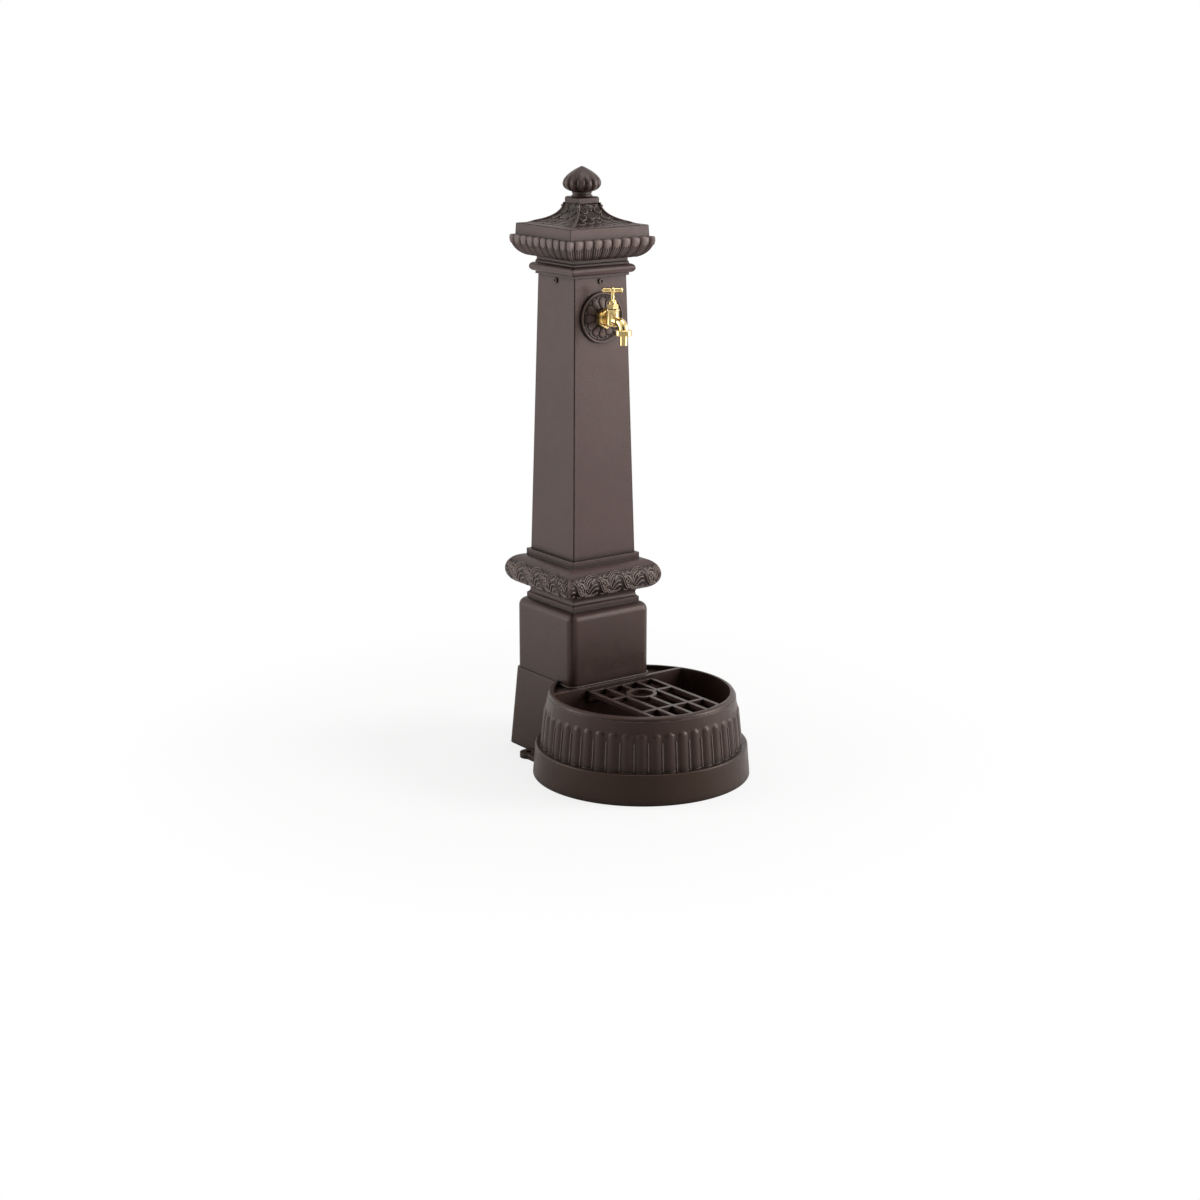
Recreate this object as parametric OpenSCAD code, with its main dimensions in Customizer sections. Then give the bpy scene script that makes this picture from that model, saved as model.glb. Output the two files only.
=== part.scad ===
// Column fountain: a tapered square column on a plinth, with a round basin, a bucket grate and a bib tap.
// Millimetres. The origin is on the column's axis at the floor, +Z is up and the tap faces -Y.

/* [Base and pedestal] */
// Height of the plinth box
base_h = 167; // [155:1:180]
// Half width of the plinth at the floor
base_w0 = 114; // [110:1:118]
// Half width of the plinth at its top
base_w1 = 103; // [102:0.5:107]
// Corner radius of plinth and pedestal
corner_r = 18; // [12:1:22]
// Wall of the iron castings
wall = 8; // [6:0.5:9]
// Half width of the pedestal block
block_w = 100; // [98:0.5:101]
// Height of the pedestal block
block_h = 133; // [120:1:150]
// Radius of the block's rounded shoulder
shoulder_r = 17; // [14:0.5:18]
// Height of the flat fillet above the shoulder
fillet_h = 10; // [6:0.5:14]
// Height of the hollow moulding under the big roll
cove_h = 18; // [14:0.5:22]
// Depth of that hollow moulding
cove_d = 5.5; // [3:0.5:7]
// Radius of the big carved roll
roll_r = 31.5; // [28:0.5:34]
// Height of the ledge that carries the shaft
ledge_h = 13; // [12:0.5:18]

/* [Shaft] */
// Height of the shaft between the ledge and the capital
shaft_h = 566; // [500:1:640]
// Half width of the shaft at its foot
shaft_w0 = 76.3; // [75:0.1:77]
// Half width of the shaft at its head
shaft_w1 = 63; // [60:0.5:63.5]
// Thickness of the four plates
plate_t = 6; // [5:0.5:7]
// Depth of the groove that the plates stand in
groove_d = 9; // [6:0.5:10]
// Gap between mitred plates
joint_gap = 0.6; // [0.3:0.1:1]
// Distance of the top screws below the capital
screw_drop = 8; // [7:0.5:12]

/* [Capital, roof and finial] */
// Half width of the capital's fillets
cap_w = 67; // [66:0.5:68]
// Radius of the half-round bead
bead_r = 9; // [7:0.5:10]
// Height of the neck between bead and leaf moulding
neck_h = 10; // [8:0.5:14]
// Radius of the leaf moulding
ovolo_r = 35; // [33:0.5:36]
// Height of the plain lip above the leaf moulding
lip_h = 5; // [4:0.5:7]
// Number of leaves on each side of the leaf moulding
leaf_count = 8; // [6:2:10]
// Depth of the grooves between leaves
leaf_d = 2; // [1.4:0.2:2.6]
// Half width of the roof's square slab at its foot
slab_w = 96; // [94:0.5:96.5]
// Height of the slab that shows above the lip
slab_h = 22.5; // [18:0.5:28]
// Depth of the slab's seat in the capital
seat_d = 7; // [5:0.5:9]
// Height of the roof's hollow curve
roof_h = 43; // [36:0.5:50]
// Half width of the cushion on top of the roof
cushion_w = 27; // [25:0.5:29]
// Height of the cushion
cushion_h = 12; // [10:0.5:14]
// Largest radius of the finial
finial_r = 38.8; // [35:0.1:42]
// Height of the finial
finial_h = 59; // [54:0.5:66]
// Number of lobes round the finial
lobe_count = 10; // [8:1:12]

/* [Basin] */
// Distance from the column's axis to the basin's centre
basin_y = 204; // [198:1:210]
// Inner radius of the basin's rim
bowl_r = 178; // [174:0.5:186]
// Width of the rim from the bowl to the drum's outside
rim_w = 12.5; // [11.5:0.5:14]
// How much wider the drum is at its foot than under the rim
drum_flare = 10.5; // [8:0.5:13]
// Width of the ledge on top of the skirt
ledge_w = 14; // [11:0.5:16]
// How much wider the skirt is at the floor than at its top
skirt_flare = 5; // [3:0.5:8]
// Height of the skirt
skirt_h = 62; // [58:1:66]
// Height of the drum under its rim
drum_h = 162; // [158:1:163]
// Height of the rim
rim_h = 170; // [169:0.5:173]
// Height of the bowl's floor
floor_z = 56; // [54:1:60]
// Number of reeds round a full drum
reed_count = 44; // [36:1:48]
// Width of a reed
reed_w = 21; // [18:0.5:22]
// How far a reed stands out
reed_d = 3.6; // [2:0.2:4.4]
// Height of the reeds' round tops
reed_top = 141; // [132:1:146]
// Height of the flat deck on both sides of the plinth
deck_z = 160; // [158:0.5:163]
// Distance from the axis to the bowl's straight rear wall
rear_y = 124; // [122:0.5:128]
// Distance of each floor lug's bolt from the axis
lug_x = 136; // [134:0.5:138]
// Radius of the floor lug's bolt holes
lug_hole_r = 6.5; // [5:0.5:7]

/* [Grate] */
// Half width of the bucket grate
grate_w = 80.5; // [76:0.5:84]
// Thickness of the grate
grate_t = 9; // [7:0.5:11]
// Width of its bars
bar_w = 7.5; // [6:0.5:9]
// Outer radius of its ring
ring_r = 31; // [28:0.5:34]

/* [Tap and pipework] */
// Distance of the tap's axis below the shaft's top
tap_drop = 80; // [74:1:110]
// Radius of the rosette
rosette_r = 50.7; // [44:0.1:54]
// Distance from the axis to the tap's spindle
spindle_y = 103; // [101:0.5:106]
// Radius of the tap's inlet tail
tail_r = 10.4; // [9.5:0.1:10.6]
// Radius of the tap's barrel
barrel_r = 13; // [12.8:0.1:14]
// Reach of the spout from spindle to outlet
spout_reach = 37; // [34:0.5:42]
// Outer radius of the spout
spout_r = 9.5; // [9:0.1:10]
// Radius of the tap's waterway
bore_r = 6; // [5:0.1:6.4]
// Lift of the jumper for one turn of the spindle
thread_pitch = 1.8; // [1.5:0.1:2]
// Half width of the handle bar
handle_w = 20.4; // [19:0.2:28]
// Angle at which the closed handle stops, seen from above
handle_angle = -36; // [-45:1:45]
// Radius of the handle bar
handle_r = 4.6; // [4:0.1:5]
// Radius of the hose tail
hose_r = 7.5; // [7:0.1:8]
// Length of the hose tail below the union nut
hose_l = 19; // [14:0.5:26]
// Radius of the riser pipe
riser_r = 10.6; // [9:0.1:11]
// Distance from the axis to the riser pipe
riser_y = 20; // [16:0.5:24]
// Radius of the drain outlet's bore
drain_r = 16.3; // [15.5:0.1:17]
// Distance from the axis to the drain outlet
drain_y = 84; // [82:0.5:86]

/* [Hidden] */
$fn = 48;

// Clearances and small common sizes
slip = 0.3;
run_gap = 0.05;
far = 600;
iron = [0.36, 0.32, 0.31];
brass = [0.83, 0.64, 0.30];
steel = [0.62, 0.63, 0.65];
black_rubber = [0.12, 0.12, 0.12];

// Heights of the column's seats, chained from the floor up
z_shoulder = base_h + block_h;
z_fillet = z_shoulder + shoulder_r;
z_cove = z_fillet + fillet_h;
z_roll = z_cove + cove_h + roll_r;
z_ledge = z_roll + roll_r;
z_shaft = z_ledge + ledge_h;
z_cap = z_shaft + shaft_h;
tap_z = z_cap - tap_drop;
cap_fillet_h = 5;
z_bead = z_cap + cap_fillet_h + bead_r;
z_neck = z_bead + bead_r + 3;
z_ovolo = z_neck + neck_h;
z_lip = z_ovolo + ovolo_r + lip_h;
z_seat = z_lip - seat_d;
z_slab = z_lip + slab_h;
z_cushion = z_slab + roof_h;
z_finial = z_cushion + cushion_h;
z_tip = z_finial + finial_h;

// Widths that follow from the driving ones
drum_r1 = bowl_r + rim_w;
drum_r0 = drum_r1 + drum_flare;
skirt_r1 = drum_r0 + ledge_w;
skirt_r0 = skirt_r1 + skirt_flare;
fillet_w = block_w - shoulder_r;
roll_w = fillet_w + 1;
ovolo_w = cap_w - 1;
slab_top_w = slab_w - 1.5;
neck_w = cushion_w - 3;
lean = atan((shaft_w0 - shaft_w1)/shaft_h);
function shaft_w(z) = shaft_w0 - (shaft_w0 - shaft_w1)*(z - z_shaft)/shaft_h;

// Points along an arc, and a half outline closed to both sides of the axis
function arc(cx, cy, r, a0, a1, n = 8) =
  [for (i = [0:n]) [cx + r*cos(a0 + (a1 - a0)*i/n), cy + r*sin(a0 + (a1 - a0)*i/n)]];
function both_sides(p) = concat(p, [for (i = [len(p) - 1:-1:0]) [-p[i][0], p[i][1]]]);

// A square moulding with mitred corners from its half outline
module square_run(profile) {
  intersection() {
    rotate([90, 0, 0]) linear_extrude(height = far, center = true) polygon(both_sides(profile));
    rotate([90, 0, 90]) linear_extrude(height = far, center = true) polygon(both_sides(profile));
  }
}

// A square box with leaning walls; planes tangent to the corner circles round its corners
function support(w, r, a) = (w - r)*(abs(cos(a)) + abs(sin(a))) + r;
module leaning_box(w0, w1, z0, z1, r, edge = 0) {
  intersection_for (a = [0:15:165]) {
    b0 = support(w0, r, a);
    b1 = support(w1, r, a);
    rotate([90, 0, a]) linear_extrude(height = far, center = true)
      polygon(both_sides(edge == 0 ? [[b0, z0], [b1, z1]]
        : concat([[b0, z0]], arc(b1 - edge, z1 - edge, edge, 0, 90, 3))));
  }
}

module square_post(w, z0, z1) {
  translate([-w, -w, z0]) cube([2*w, 2*w, z1 - z0]);
}

module tube(r_out, r_in, z0, z1) {
  translate([0, 0, z0]) difference() {
    cylinder(r = r_out, h = z1 - z0);
    translate([0, 0, -1]) cylinder(r = r_in, h = z1 - z0 + 2);
  }
}

// A hexagon by its width across flats
module hex_post(flats, z0, z1, turn = 0) {
  translate([0, 0, z0]) rotate([0, 0, turn]) cylinder(r = flats/sqrt(3), h = z1 - z0, $fn = 6);
}

// Places its children along -Y at height z, so that their +Z points to the front
module face_front(z, y = 0) {
  translate([0, -y, z]) rotate([90, 0, 0]) children();
}

// Places its children on the front plate's leaning face, with their +Z square to it
module on_plate(z, out = 0) {
  translate([0, -shaft_w(z), z]) rotate([90 - lean, 0, 0]) translate([0, 0, out]) children();
}

// Base casting: plinth box, basin drum, deck, drain pocket and floor lugs in one casting
flange_t = 10;
flange_w = 72;
bolt_at = 79;
bolt_hole_r = 4.5;
pocket_w = 30;
pocket_z = floor_z - 4;
pocket_h = 38;
pocket_back = 62;
spigot_z = 14;
spigot_stop = pocket_z - 12;
seal_t = 2;
seal_groove = 2.5;
seal_r = drain_r + 2;
strainer_r = 20.7;
strainer_t = 2.5;
rest_z = rim_h - 6 - grate_t;
rest_gap = slip;
lug_t = 10;
lug_r = 20;

module box_outer() {
  leaning_box(base_w0, base_w1, 0, base_h, corner_r, 3);
}

module drum_outer() {
  translate([0, -basin_y, 0]) rotate_extrude($fn = 96)
    polygon(concat([[0, 0], [skirt_r0, 0]], arc(skirt_r1 - 3, skirt_h - 3, 3, 5, 90, 3),
      [[drum_r0, skirt_h], [drum_r1, drum_h], [drum_r1 - 1.5, drum_h], [drum_r1 - 1.5, drum_h + 1]],
      arc(drum_r1 - 8.5, rim_h - 7, 7, 0, 90, 4), [[0, rim_h]]));
}

module bowl_cavity() {
  floor_r = 18;
  difference() {
    translate([0, -basin_y, 0]) rotate_extrude($fn = 96)
      polygon(concat([[0, floor_z]], arc(bowl_r - 4 - floor_r, floor_z + floor_r, floor_r, -90, 0, 5),
        [[bowl_r, rim_h - 3], [bowl_r + 2, rim_h + 1], [0, rim_h + 1]]));
    translate([-far/2, -rear_y - wall/2, 0]) cube([far, far, far]);
  }
}

module deck_cavity() {
  difference() {
    translate([0, -basin_y, deck_z]) cylinder(r = bowl_r, h = 30, $fn = 96);
    translate([-far/2, -rear_y + wall/2 - far, 0]) cube([far, far, far]);
    box_outer();
  }
}

// The open underside of basin and deck
module underside() {
  difference() {
    union() {
      translate([0, -basin_y, 0]) rotate_extrude($fn = 96)
        polygon([[0, -1], [skirt_r0 - wall, -1], [skirt_r1 - wall - 2, floor_z - wall], [0, floor_z - wall]]);
      difference() {
        translate([0, -basin_y, -1]) cylinder(r = bowl_r - 2, h = deck_z - wall + 1, $fn = 96);
        translate([-far/2, -rear_y + wall/2 - far, -2]) cube([far, far, far]);
      }
    }
    box_outer();
  }
}

module box_cavity() {
  leaning_box(base_w0 - wall, base_w1 - wall, -1, base_h - flange_t, corner_r - wall);
  square_post(flange_w, base_h - flange_t - 1, base_h + 1);
}

// A reed: a segment of a large circle run up the drum, closed by a dome of the same section
module bar_on_drum(w, d, top) {
  slope = atan((drum_r0 - drum_r1)/(drum_h - skirt_h));
  round_r = (d*d + w*w/4)/(2*d);
  half = asin(w/2/round_r);
  sink = 1.5;
  translate([drum_r0, 0, skirt_h - 1]) rotate([0, -slope, 0]) {
    linear_extrude(height = top - w/2 - skirt_h + 1)
      polygon(concat([[-sink, w/2], [-sink, -w/2]], arc(d - round_r, 0, round_r, -half, half, 6)));
    translate([-sink, 0, top - w/2 - skirt_h + 1]) rotate([0, 90, 0]) rotate_extrude($fn = 24)
      polygon(concat([[0, 0], [w/2, 0]], arc(0, d - round_r + sink, round_r, 90 - half, 90, 3)));
  }
}

module reeds() {
  step = 360/reed_count;
  for (i = [0:reed_count - 1]) {
    a = (i + 0.5)*step - 90;
    rear = -basin_y + drum_r0*sin(a);
    if (rear < -70 || abs(drum_r0*cos(a)) > base_w0 + reed_w)
      translate([0, -basin_y, 0]) rotate([0, 0, a]) bar_on_drum(reed_w, reed_d, reed_top);
  }
}

module lug_outline() {
  translate([lug_x, 0, 0]) cylinder(r = lug_r, h = lug_t);
  translate([base_w0 - 14, -40, 0]) cube([lug_x - base_w0 + 14, 40 + lug_r, lug_t]);
  translate([lug_x, -40, 0]) cube([lug_r - 6, 40, lug_t]);
}

module lugs() {
  for (side = [0, 1]) mirror([side, 0, 0]) lug_outline();
}

module drain_pocket() {
  translate([-pocket_w - wall, -rear_y, pocket_z - wall])
    cube([2*(pocket_w + wall), rear_y - pocket_back + wall, pocket_h + 2*wall]);
  translate([0, -drain_y, spigot_z]) cylinder(r = drain_r + 7, h = pocket_z - wall - spigot_z + 1);
}

module drain_way() {
  translate([-pocket_w, -rear_y - wall, pocket_z])
    cube([2*pocket_w, rear_y + wall - pocket_back, pocket_h]);
  translate([0, -drain_y, spigot_z - 1]) cylinder(r = drain_r, h = spigot_stop - spigot_z + 1);
  translate([0, -drain_y, spigot_stop - seal_groove]) cylinder(r = seal_r, h = seal_groove);
  translate([0, -drain_y, spigot_z]) cylinder(r = drain_r - 2.5, h = pocket_z - spigot_z + 1);
  translate([0, -drain_y, pocket_z - strainer_t]) cylinder(r = strainer_r + slip, h = strainer_t + 1);
}

// Two shelves under the grate: one on the rear wall, one inside the front wall
module grate_rests() {
  rest_h = 12;
  rest_reach = 60;
  translate([-grate_w, -rear_y - wall/2 - 7, rest_z - rest_gap - rest_h])
    cube([2*grate_w, 8, rest_h]);
  intersection() {
    translate([0, -basin_y, 0])
      tube(bowl_r + 2, bowl_r - 12, rest_z - rest_gap - rest_h, rest_z - rest_gap, $fn = 96);
    translate([-grate_w, -basin_y - bowl_r - 4, 0]) cube([2*grate_w, rest_reach, far]);
  }
}

module base_casting() {
  color(iron) difference() {
    union() {
      difference() {
        union() {
          difference() {
            drum_outer();
            square_post(block_w + 1.2, base_h, rim_h + 1);
          }
          reeds();
          box_outer();
          lugs();
        }
        bowl_cavity();
        deck_cavity();
        underside();
        box_cavity();
      }
      drain_pocket();
      grate_rests();
    }
    drain_way();
    for (x = [-1, 1], y = [-1, 1]) translate([x*bolt_at, y*bolt_at, base_h - flange_t - 1])
      cylinder(r = bolt_hole_r, h = flange_t + 2);
    for (x = [-1, 1]) translate([x*lug_x, 0, -1]) cylinder(r = lug_hole_r, h = lug_t + 2);
  }
}

// A square moulding with round upright corners: the profile is also turned about each corner's own axis
module round_run(profile, r) {
  low = profile[0][1];
  high = profile[len(profile) - 1][1];
  middle = max([for (p = profile) p[0]]) - r;
  intersection() {
    square_run(profile);
    union() {
      translate([-far/2, -middle, low - 1]) cube([far, 2*middle, high - low + 2]);
      translate([-middle, -far/2, low - 1]) cube([2*middle, far, high - low + 2]);
    }
  }
  for (x = [-1, 1], y = [-1, 1]) translate([x*middle, y*middle, 0])
    rotate_extrude() polygon(concat([[0, low]], [for (p = profile) [p[0] - middle, p[1]]], [[0, high]]));
}

// Pedestal: block, shoulder, hollow moulding, carved roll and the ledge with the shaft's groove
stand_h = 16;
function cove_r() = (cove_h*cove_h/4 + cove_d*cove_d)/(2*cove_d);
function cove_arc() = let (r = cove_r(), half = asin(cove_h/2/r))
  arc(fillet_w - cove_d + r, z_cove + cove_h/2, r, 180 + half, 180 - half, 6);
function block_outline() = concat([[block_w, base_h]], arc(fillet_w, z_shoulder, shoulder_r, 0, 90, 5));
function pedestal_outline() = concat([[fillet_w, z_shoulder], [fillet_w, z_cove]], cove_arc(),
  arc(roll_w, z_roll, roll_r, -90, 90, 14), [[fillet_w, z_ledge], [fillet_w, z_shaft]]);
function pedestal_inside() = [[block_w - wall, base_h + flange_t], [block_w - wall, z_shoulder - 4],
  [fillet_w - wall - 8, z_cove - 4], [fillet_w - wall - 8, z_roll - roll_r + 4],
  [roll_w + 8, z_roll - 12], [roll_w + 8, z_roll + 12],
  [stand_in_w(), z_ledge - 4], [stand_in_w(), z_shaft + stand_h + 1]];
function stand_out_w() = shaft_w(z_shaft + stand_h) - plate_t - slip;
function stand_in_w() = stand_out_w() - wall + 2;

module pedestal() {
  color(iron) difference() {
    union() {
      round_run(block_outline(), corner_r);
      square_run(pedestal_outline());
      square_post(stand_out_w(), z_ledge, z_shaft + stand_h);
    }
    square_run(pedestal_inside());
    square_post(flange_w, base_h - 1, base_h + flange_t + 1);
    difference() {
      square_post(shaft_w0 + slip + 0.3, z_shaft - groove_d, z_shaft + 1);
      square_post(stand_out_w(), z_shaft - groove_d - 1, z_shaft + 2);
    }
    for (x = [-1, 1], y = [-1, 1]) translate([x*bolt_at, y*bolt_at, base_h - 1])
      cylinder(r = bolt_hole_r, h = flange_t + 2);
    for (x = [-1, 1]) translate([x*bracket_at, -riser_y, base_h - 1])
      cylinder(r = bracket_bolt_r + run_gap, h = flange_t + 2);
  }
}

// Shaft: four flat plates, mitred at the corners and standing in the pedestal's groove
boss_r = 21;
boss_y = shaft_w(tap_z) - plate_t - 6;
screw_z = z_cap - screw_drop;
screw_r = 2.5;
module shaft_plate(hole) {
  z0 = z_shaft - groove_d;
  color(iron) difference() {
    union() {
      intersection() {
        difference() {
          leaning_plates(0);
          leaning_plates(plate_t);
        }
        mitre_wedge(z0);
      }
      if (hole) intersection() {
        face_front(tap_z, boss_y) cylinder(r = boss_r, h = plate_t + 4);
        leaning_plates(plate_t - 1);
      }
    }
    on_plate(screw_z, -plate_t - 3) cylinder(r = screw_r + 0.4, h = plate_t + 6);
    if (hole) face_front(tap_z, 0) cylinder(r = tail_r + 0.6, h = shaft_w0 + 1);
  }
}

module leaning_plates(inset) {
  z0 = z_shaft - groove_d - (inset > 0 ? 1 : 0);
  z1 = z_cap + (inset > 0 ? 1 : 0);
  square_run([[shaft_w(z0) - inset, z0], [shaft_w(z1) - inset, z1]]);
}

module mitre_wedge(z0) {
  reach = shaft_w0 + 20;
  translate([0, -joint_gap/2*sqrt(2), z0]) linear_extrude(height = z_cap - z0)
    polygon([[0, 0], [reach, -reach], [-reach, -reach]]);
}

module shaft_plate_front() { shaft_plate(true); }
module shaft_plate_right() { rotate([0, 0, 90]) shaft_plate(false); }
module shaft_plate_back() { rotate([0, 0, 180]) shaft_plate(false); }
module shaft_plate_left() { rotate([0, 0, 270]) shaft_plate(false); }

// Capital: fillets, bead, neck and leaf moulding, with a skirt that reaches down inside the plates
skirt_d = 22;
skirt_t = 9;
rib_t = 10;
function cap_skirt_w() = shaft_w(z_cap) - plate_t - slip;
function capital_outline() = concat([[cap_w, z_cap], [cap_w, z_cap + cap_fillet_h]],
  arc(cap_w + 0.5, z_bead, bead_r, -90, 90, 8), [[cap_w, z_neck - 3], [cap_w, z_neck]],
  [[ovolo_w - 1, z_neck + 3], [ovolo_w - 1, z_ovolo]], arc(ovolo_w, z_ovolo + ovolo_r, ovolo_r, -90, 0, 9),
  arc(ovolo_w + ovolo_r - 3, z_lip - 3, 3, 0, 90, 3));
function capital_inside() = [[cap_skirt_w() - skirt_t, z_cap - skirt_d - 1],
  [cap_skirt_w() - skirt_t, z_neck], [cap_skirt_w() - skirt_t, z_ovolo],
  [ovolo_w + ovolo_r - wall - 16, z_seat - 8], [ovolo_w + ovolo_r - wall - 16, z_lip + 1]];

// Grooves in planes through the axis part the leaf moulding into leaves
leaf_gap = 2.2;
corner_leaf = 11;
function leaf_floor() = concat([[ovolo_w - leaf_d, z_ovolo]],
  arc(ovolo_w, z_ovolo + ovolo_r, ovolo_r - leaf_d, -90, 0, 5), [[ovolo_w + ovolo_r - leaf_d, z_lip - 2]]);
module leaf_grooves() {
  top_w = ovolo_w + ovolo_r;
  step = 2*(top_w - corner_leaf)/leaf_count;
  difference() {
    for (side = [0:90:270], k = [-leaf_count/2:leaf_count/2]) rotate([0, 0, side + atan(k*step/top_w)])
      translate([-leaf_gap/2, -2*top_w, z_ovolo + 2.5])
        cube([leaf_gap, 1.5*top_w, z_lip - 2 - z_ovolo - 2.5]);
    square_run(leaf_floor());
  }
}

module capital() {
  color(iron) difference() {
    union() {
      square_run(capital_outline());
      square_post(cap_skirt_w(), z_cap - skirt_d, z_cap + 1);
    }
    leaf_grooves();
    difference() {
      square_run(capital_inside());
      translate([-far/2, -bridge_w/2 - 4, z_neck]) cube([far, 8, rib_t]);
      translate([-far/2, bridge_w/2 - 4, z_neck]) cube([far, 8, rib_t]);
    }
    square_post(slab_w + slip, z_seat, z_lip + 1);
    for (a = [0:90:270]) rotate([0, 0, a]) on_plate(screw_z, -plate_t - skirt_t - 4)
      cylinder(r = screw_r, h = skirt_t + 8);
  }
}

module rounded_post(w, r, z0, z1) {
  translate([0, 0, z0]) linear_extrude(height = z1 - z0) {
    square([2*w, 2*(w - r)], center = true);
    square([2*(w - r), 2*w], center = true);
    for (x = [-1, 1], y = [-1, 1]) translate([x*(w - r), y*(w - r)]) circle(r);
  }
}

// Roof: slab, hollow-curved pyramid and cushion; the curve is a superellipse
roof_power = 0.56;
function roof_curve(n = 14) = [for (i = [0:n]) let (a = 90*i/n)
  [neck_w + (slab_top_w - 1 - neck_w)*pow(cos(a), 2/roof_power),
    z_slab + 0.8 + (roof_h - 0.8)*pow(sin(a), 2/roof_power)]];
under_r = 3.5;
over_r = 5;
rod_r = 5;
module roof() {
  color(iron) difference() {
    union() {
      square_run(concat([[slab_w, z_seat], [slab_top_w, z_slab]], roof_curve()));
      intersection() {
        rounded_post(cushion_w, 10, z_cushion - 1, z_finial);
        square_run(concat([[neck_w, z_cushion - 1]],
          arc(cushion_w - under_r, z_cushion + under_r, under_r, -90, 0, 4),
          arc(cushion_w - over_r, z_finial - over_r, over_r, 0, 90, 5)));
      }
    }
    square_run([[slab_w - wall - 2, z_seat - 1], [slab_w - wall - 4, z_slab - wall],
      [slab_w - 60, z_slab - wall + 3], [rod_r + 10, z_slab + roof_h/2]]);
    translate([0, 0, z_seat]) cylinder(r = rod_r + 0.5, h = z_finial - z_seat + 1);
  }
}

// Finial: two rings and a lobed onion, screwed on the tie rod
onion_z = z_finial + 9;
belly_z = z_finial + 25;
function onion_r(t) = finial_r*pow(cos(90*t), 0.85);
function onion_low() = [for (i = [0:8]) let (a = 90*i/8)
  [finial_r/2 - 1 + (finial_r/2 + 1)*sin(a), belly_z - (belly_z - onion_z)*cos(a)]];
function onion_high() = [for (i = [1:11]) let (t = i/12) [onion_r(t), belly_z + (z_tip - belly_z)*t]];

// Straight V grooves part the onion into lobes: one leans in above the belly and one below it
lobe_d = 4.2;
lobe_end = 0.55;
lobe_lean = atan((finial_r - lobe_d - onion_r(lobe_end))/(lobe_end*(z_tip - belly_z)));
module lobe_groove() {
  translate([0, lobe_d - finial_r, belly_z]) {
    rotate([-lobe_lean, 0, 0]) translate([0, 0, -2])
      linear_extrude(z_tip - belly_z) lobe_vee();
    mirror([0, 0, 1]) rotate([-lobe_lean, 0, 0]) translate([0, 0, -2])
      linear_extrude(belly_z - onion_z) lobe_vee();
  }
}
module lobe_vee() {
  polygon([[0, 0], [-2*lobe_d, -3*lobe_d], [2*lobe_d, -3*lobe_d]]);
}

module finial() {
  color(iron) difference() {
    rotate_extrude() polygon(concat([[0, z_finial], [21, z_finial], [21, z_finial + 3], [18.5, z_finial + 4],
      [18.5, z_finial + 6], [20, z_finial + 6.5], [20, onion_z]], onion_low(), onion_high(), [[0, z_tip]]));
    for (i = [0:lobe_count - 1]) rotate([0, 0, 360*i/lobe_count]) lobe_groove();
    translate([0, 0, z_finial - 1]) cylinder(r = rod_r, h = rod_grip + 1);
  }
}

// Tie rod: pulls finial, roof and capital together on a bridge bar under the capital's ribs
rod_grip = 24;
bridge_w = 50;
bridge_t = 8;
z_bridge = z_neck - bridge_t;
module tie_rod() {
  color(steel) translate([0, 0, z_bridge - 20]) cylinder(r = rod_r, h = z_finial + rod_grip - z_bridge + 20);
}

module tie_bridge() {
  color(steel) difference() {
    translate([-12, -bridge_w/2 - 6, z_bridge]) cube([24, bridge_w + 12, bridge_t]);
    translate([0, 0, z_bridge - 1]) cylinder(r = rod_r + 0.5, h = bridge_t + 2);
  }
}

module tie_nut() {
  color(steel) difference() {
    union() {
      hex_post(17, z_bridge - 10, z_bridge - 2);
      translate([0, 0, z_bridge - 2]) cylinder(r = 12, h = 2);
    }
    translate([0, 0, z_bridge - 11]) cylinder(r = rod_r, h = 12);
  }
}

// Socket screws that hold each plate to the capital's skirt
module plate_screws() {
  head_r = 5.5;
  head_t = 3;
  grip = plate_t + skirt_t - 1;
  color(steel) for (a = [0:90:270]) rotate([0, 0, a]) on_plate(screw_z) difference() {
    union() {
      cylinder(r = head_r, h = head_t);
      translate([0, 0, -grip]) cylinder(r = screw_r - run_gap, h = grip + 1);
    }
    translate([0, 0, 0.8]) cylinder(r = 3, h = head_t, $fn = 6);
  }
}

// Hexagon bolts through the flanges of base and pedestal
bolt_r = 4;
module pedestal_bolts() {
  color(steel) for (x = [-1, 1], y = [-1, 1]) translate([x*bolt_at, y*bolt_at, 0]) {
    hex_post(13, base_h - flange_t - 5.5, base_h - flange_t);
    translate([0, 0, base_h - flange_t - 1]) cylinder(r = bolt_r, h = 2*flange_t + 12);
  }
}

module pedestal_nuts() {
  color(steel) for (x = [-1, 1], y = [-1, 1]) translate([x*bolt_at, y*bolt_at, 0]) difference() {
    hex_post(13, base_h + flange_t, base_h + flange_t + 6.5);
    translate([0, 0, base_h + flange_t - 1]) cylinder(r = bolt_r, h = 9);
  }
}

// Rosette: a dished disc with a beaded rim, square to the leaning plate
rosette_t = 7;
washer_gap = 1;
nut_y = shaft_w(tap_z) + rosette_t + washer_gap;
back_nut_t = 14;
module rosette() {
  face = shaft_w(tap_z);
  color(iron) difference() {
    union() {
      on_plate(tap_z) rotate_extrude($fn = 72)
        polygon(concat([[0, 0], [rosette_r, 0]], arc(rosette_r - 2.5, 3, 2.5, 0, 150, 5),
          [[rosette_r - 7, 2.4], [rosette_r - 14, 2.2], [28, 3.4], [22, 5], [0, 5]]));
      face_front(tap_z, face + 1) cylinder(r = 18, h = rosette_t - 1);
    }
    face_front(tap_z, 0) cylinder(r = tail_r + 0.6, h = face + 20);
  }
}

module back_nut() {
  color(brass) face_front(tap_z, nut_y) difference() {
    union() {
      hex_post(35.5, 0, back_nut_t - 2, 30);
      translate([0, 0, back_nut_t - 3]) cylinder(r1 = 16.5, r2 = 14, h = 3);
    }
    translate([0, 0, -1]) cylinder(r = tail_r, h = 20);
  }
}

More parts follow.
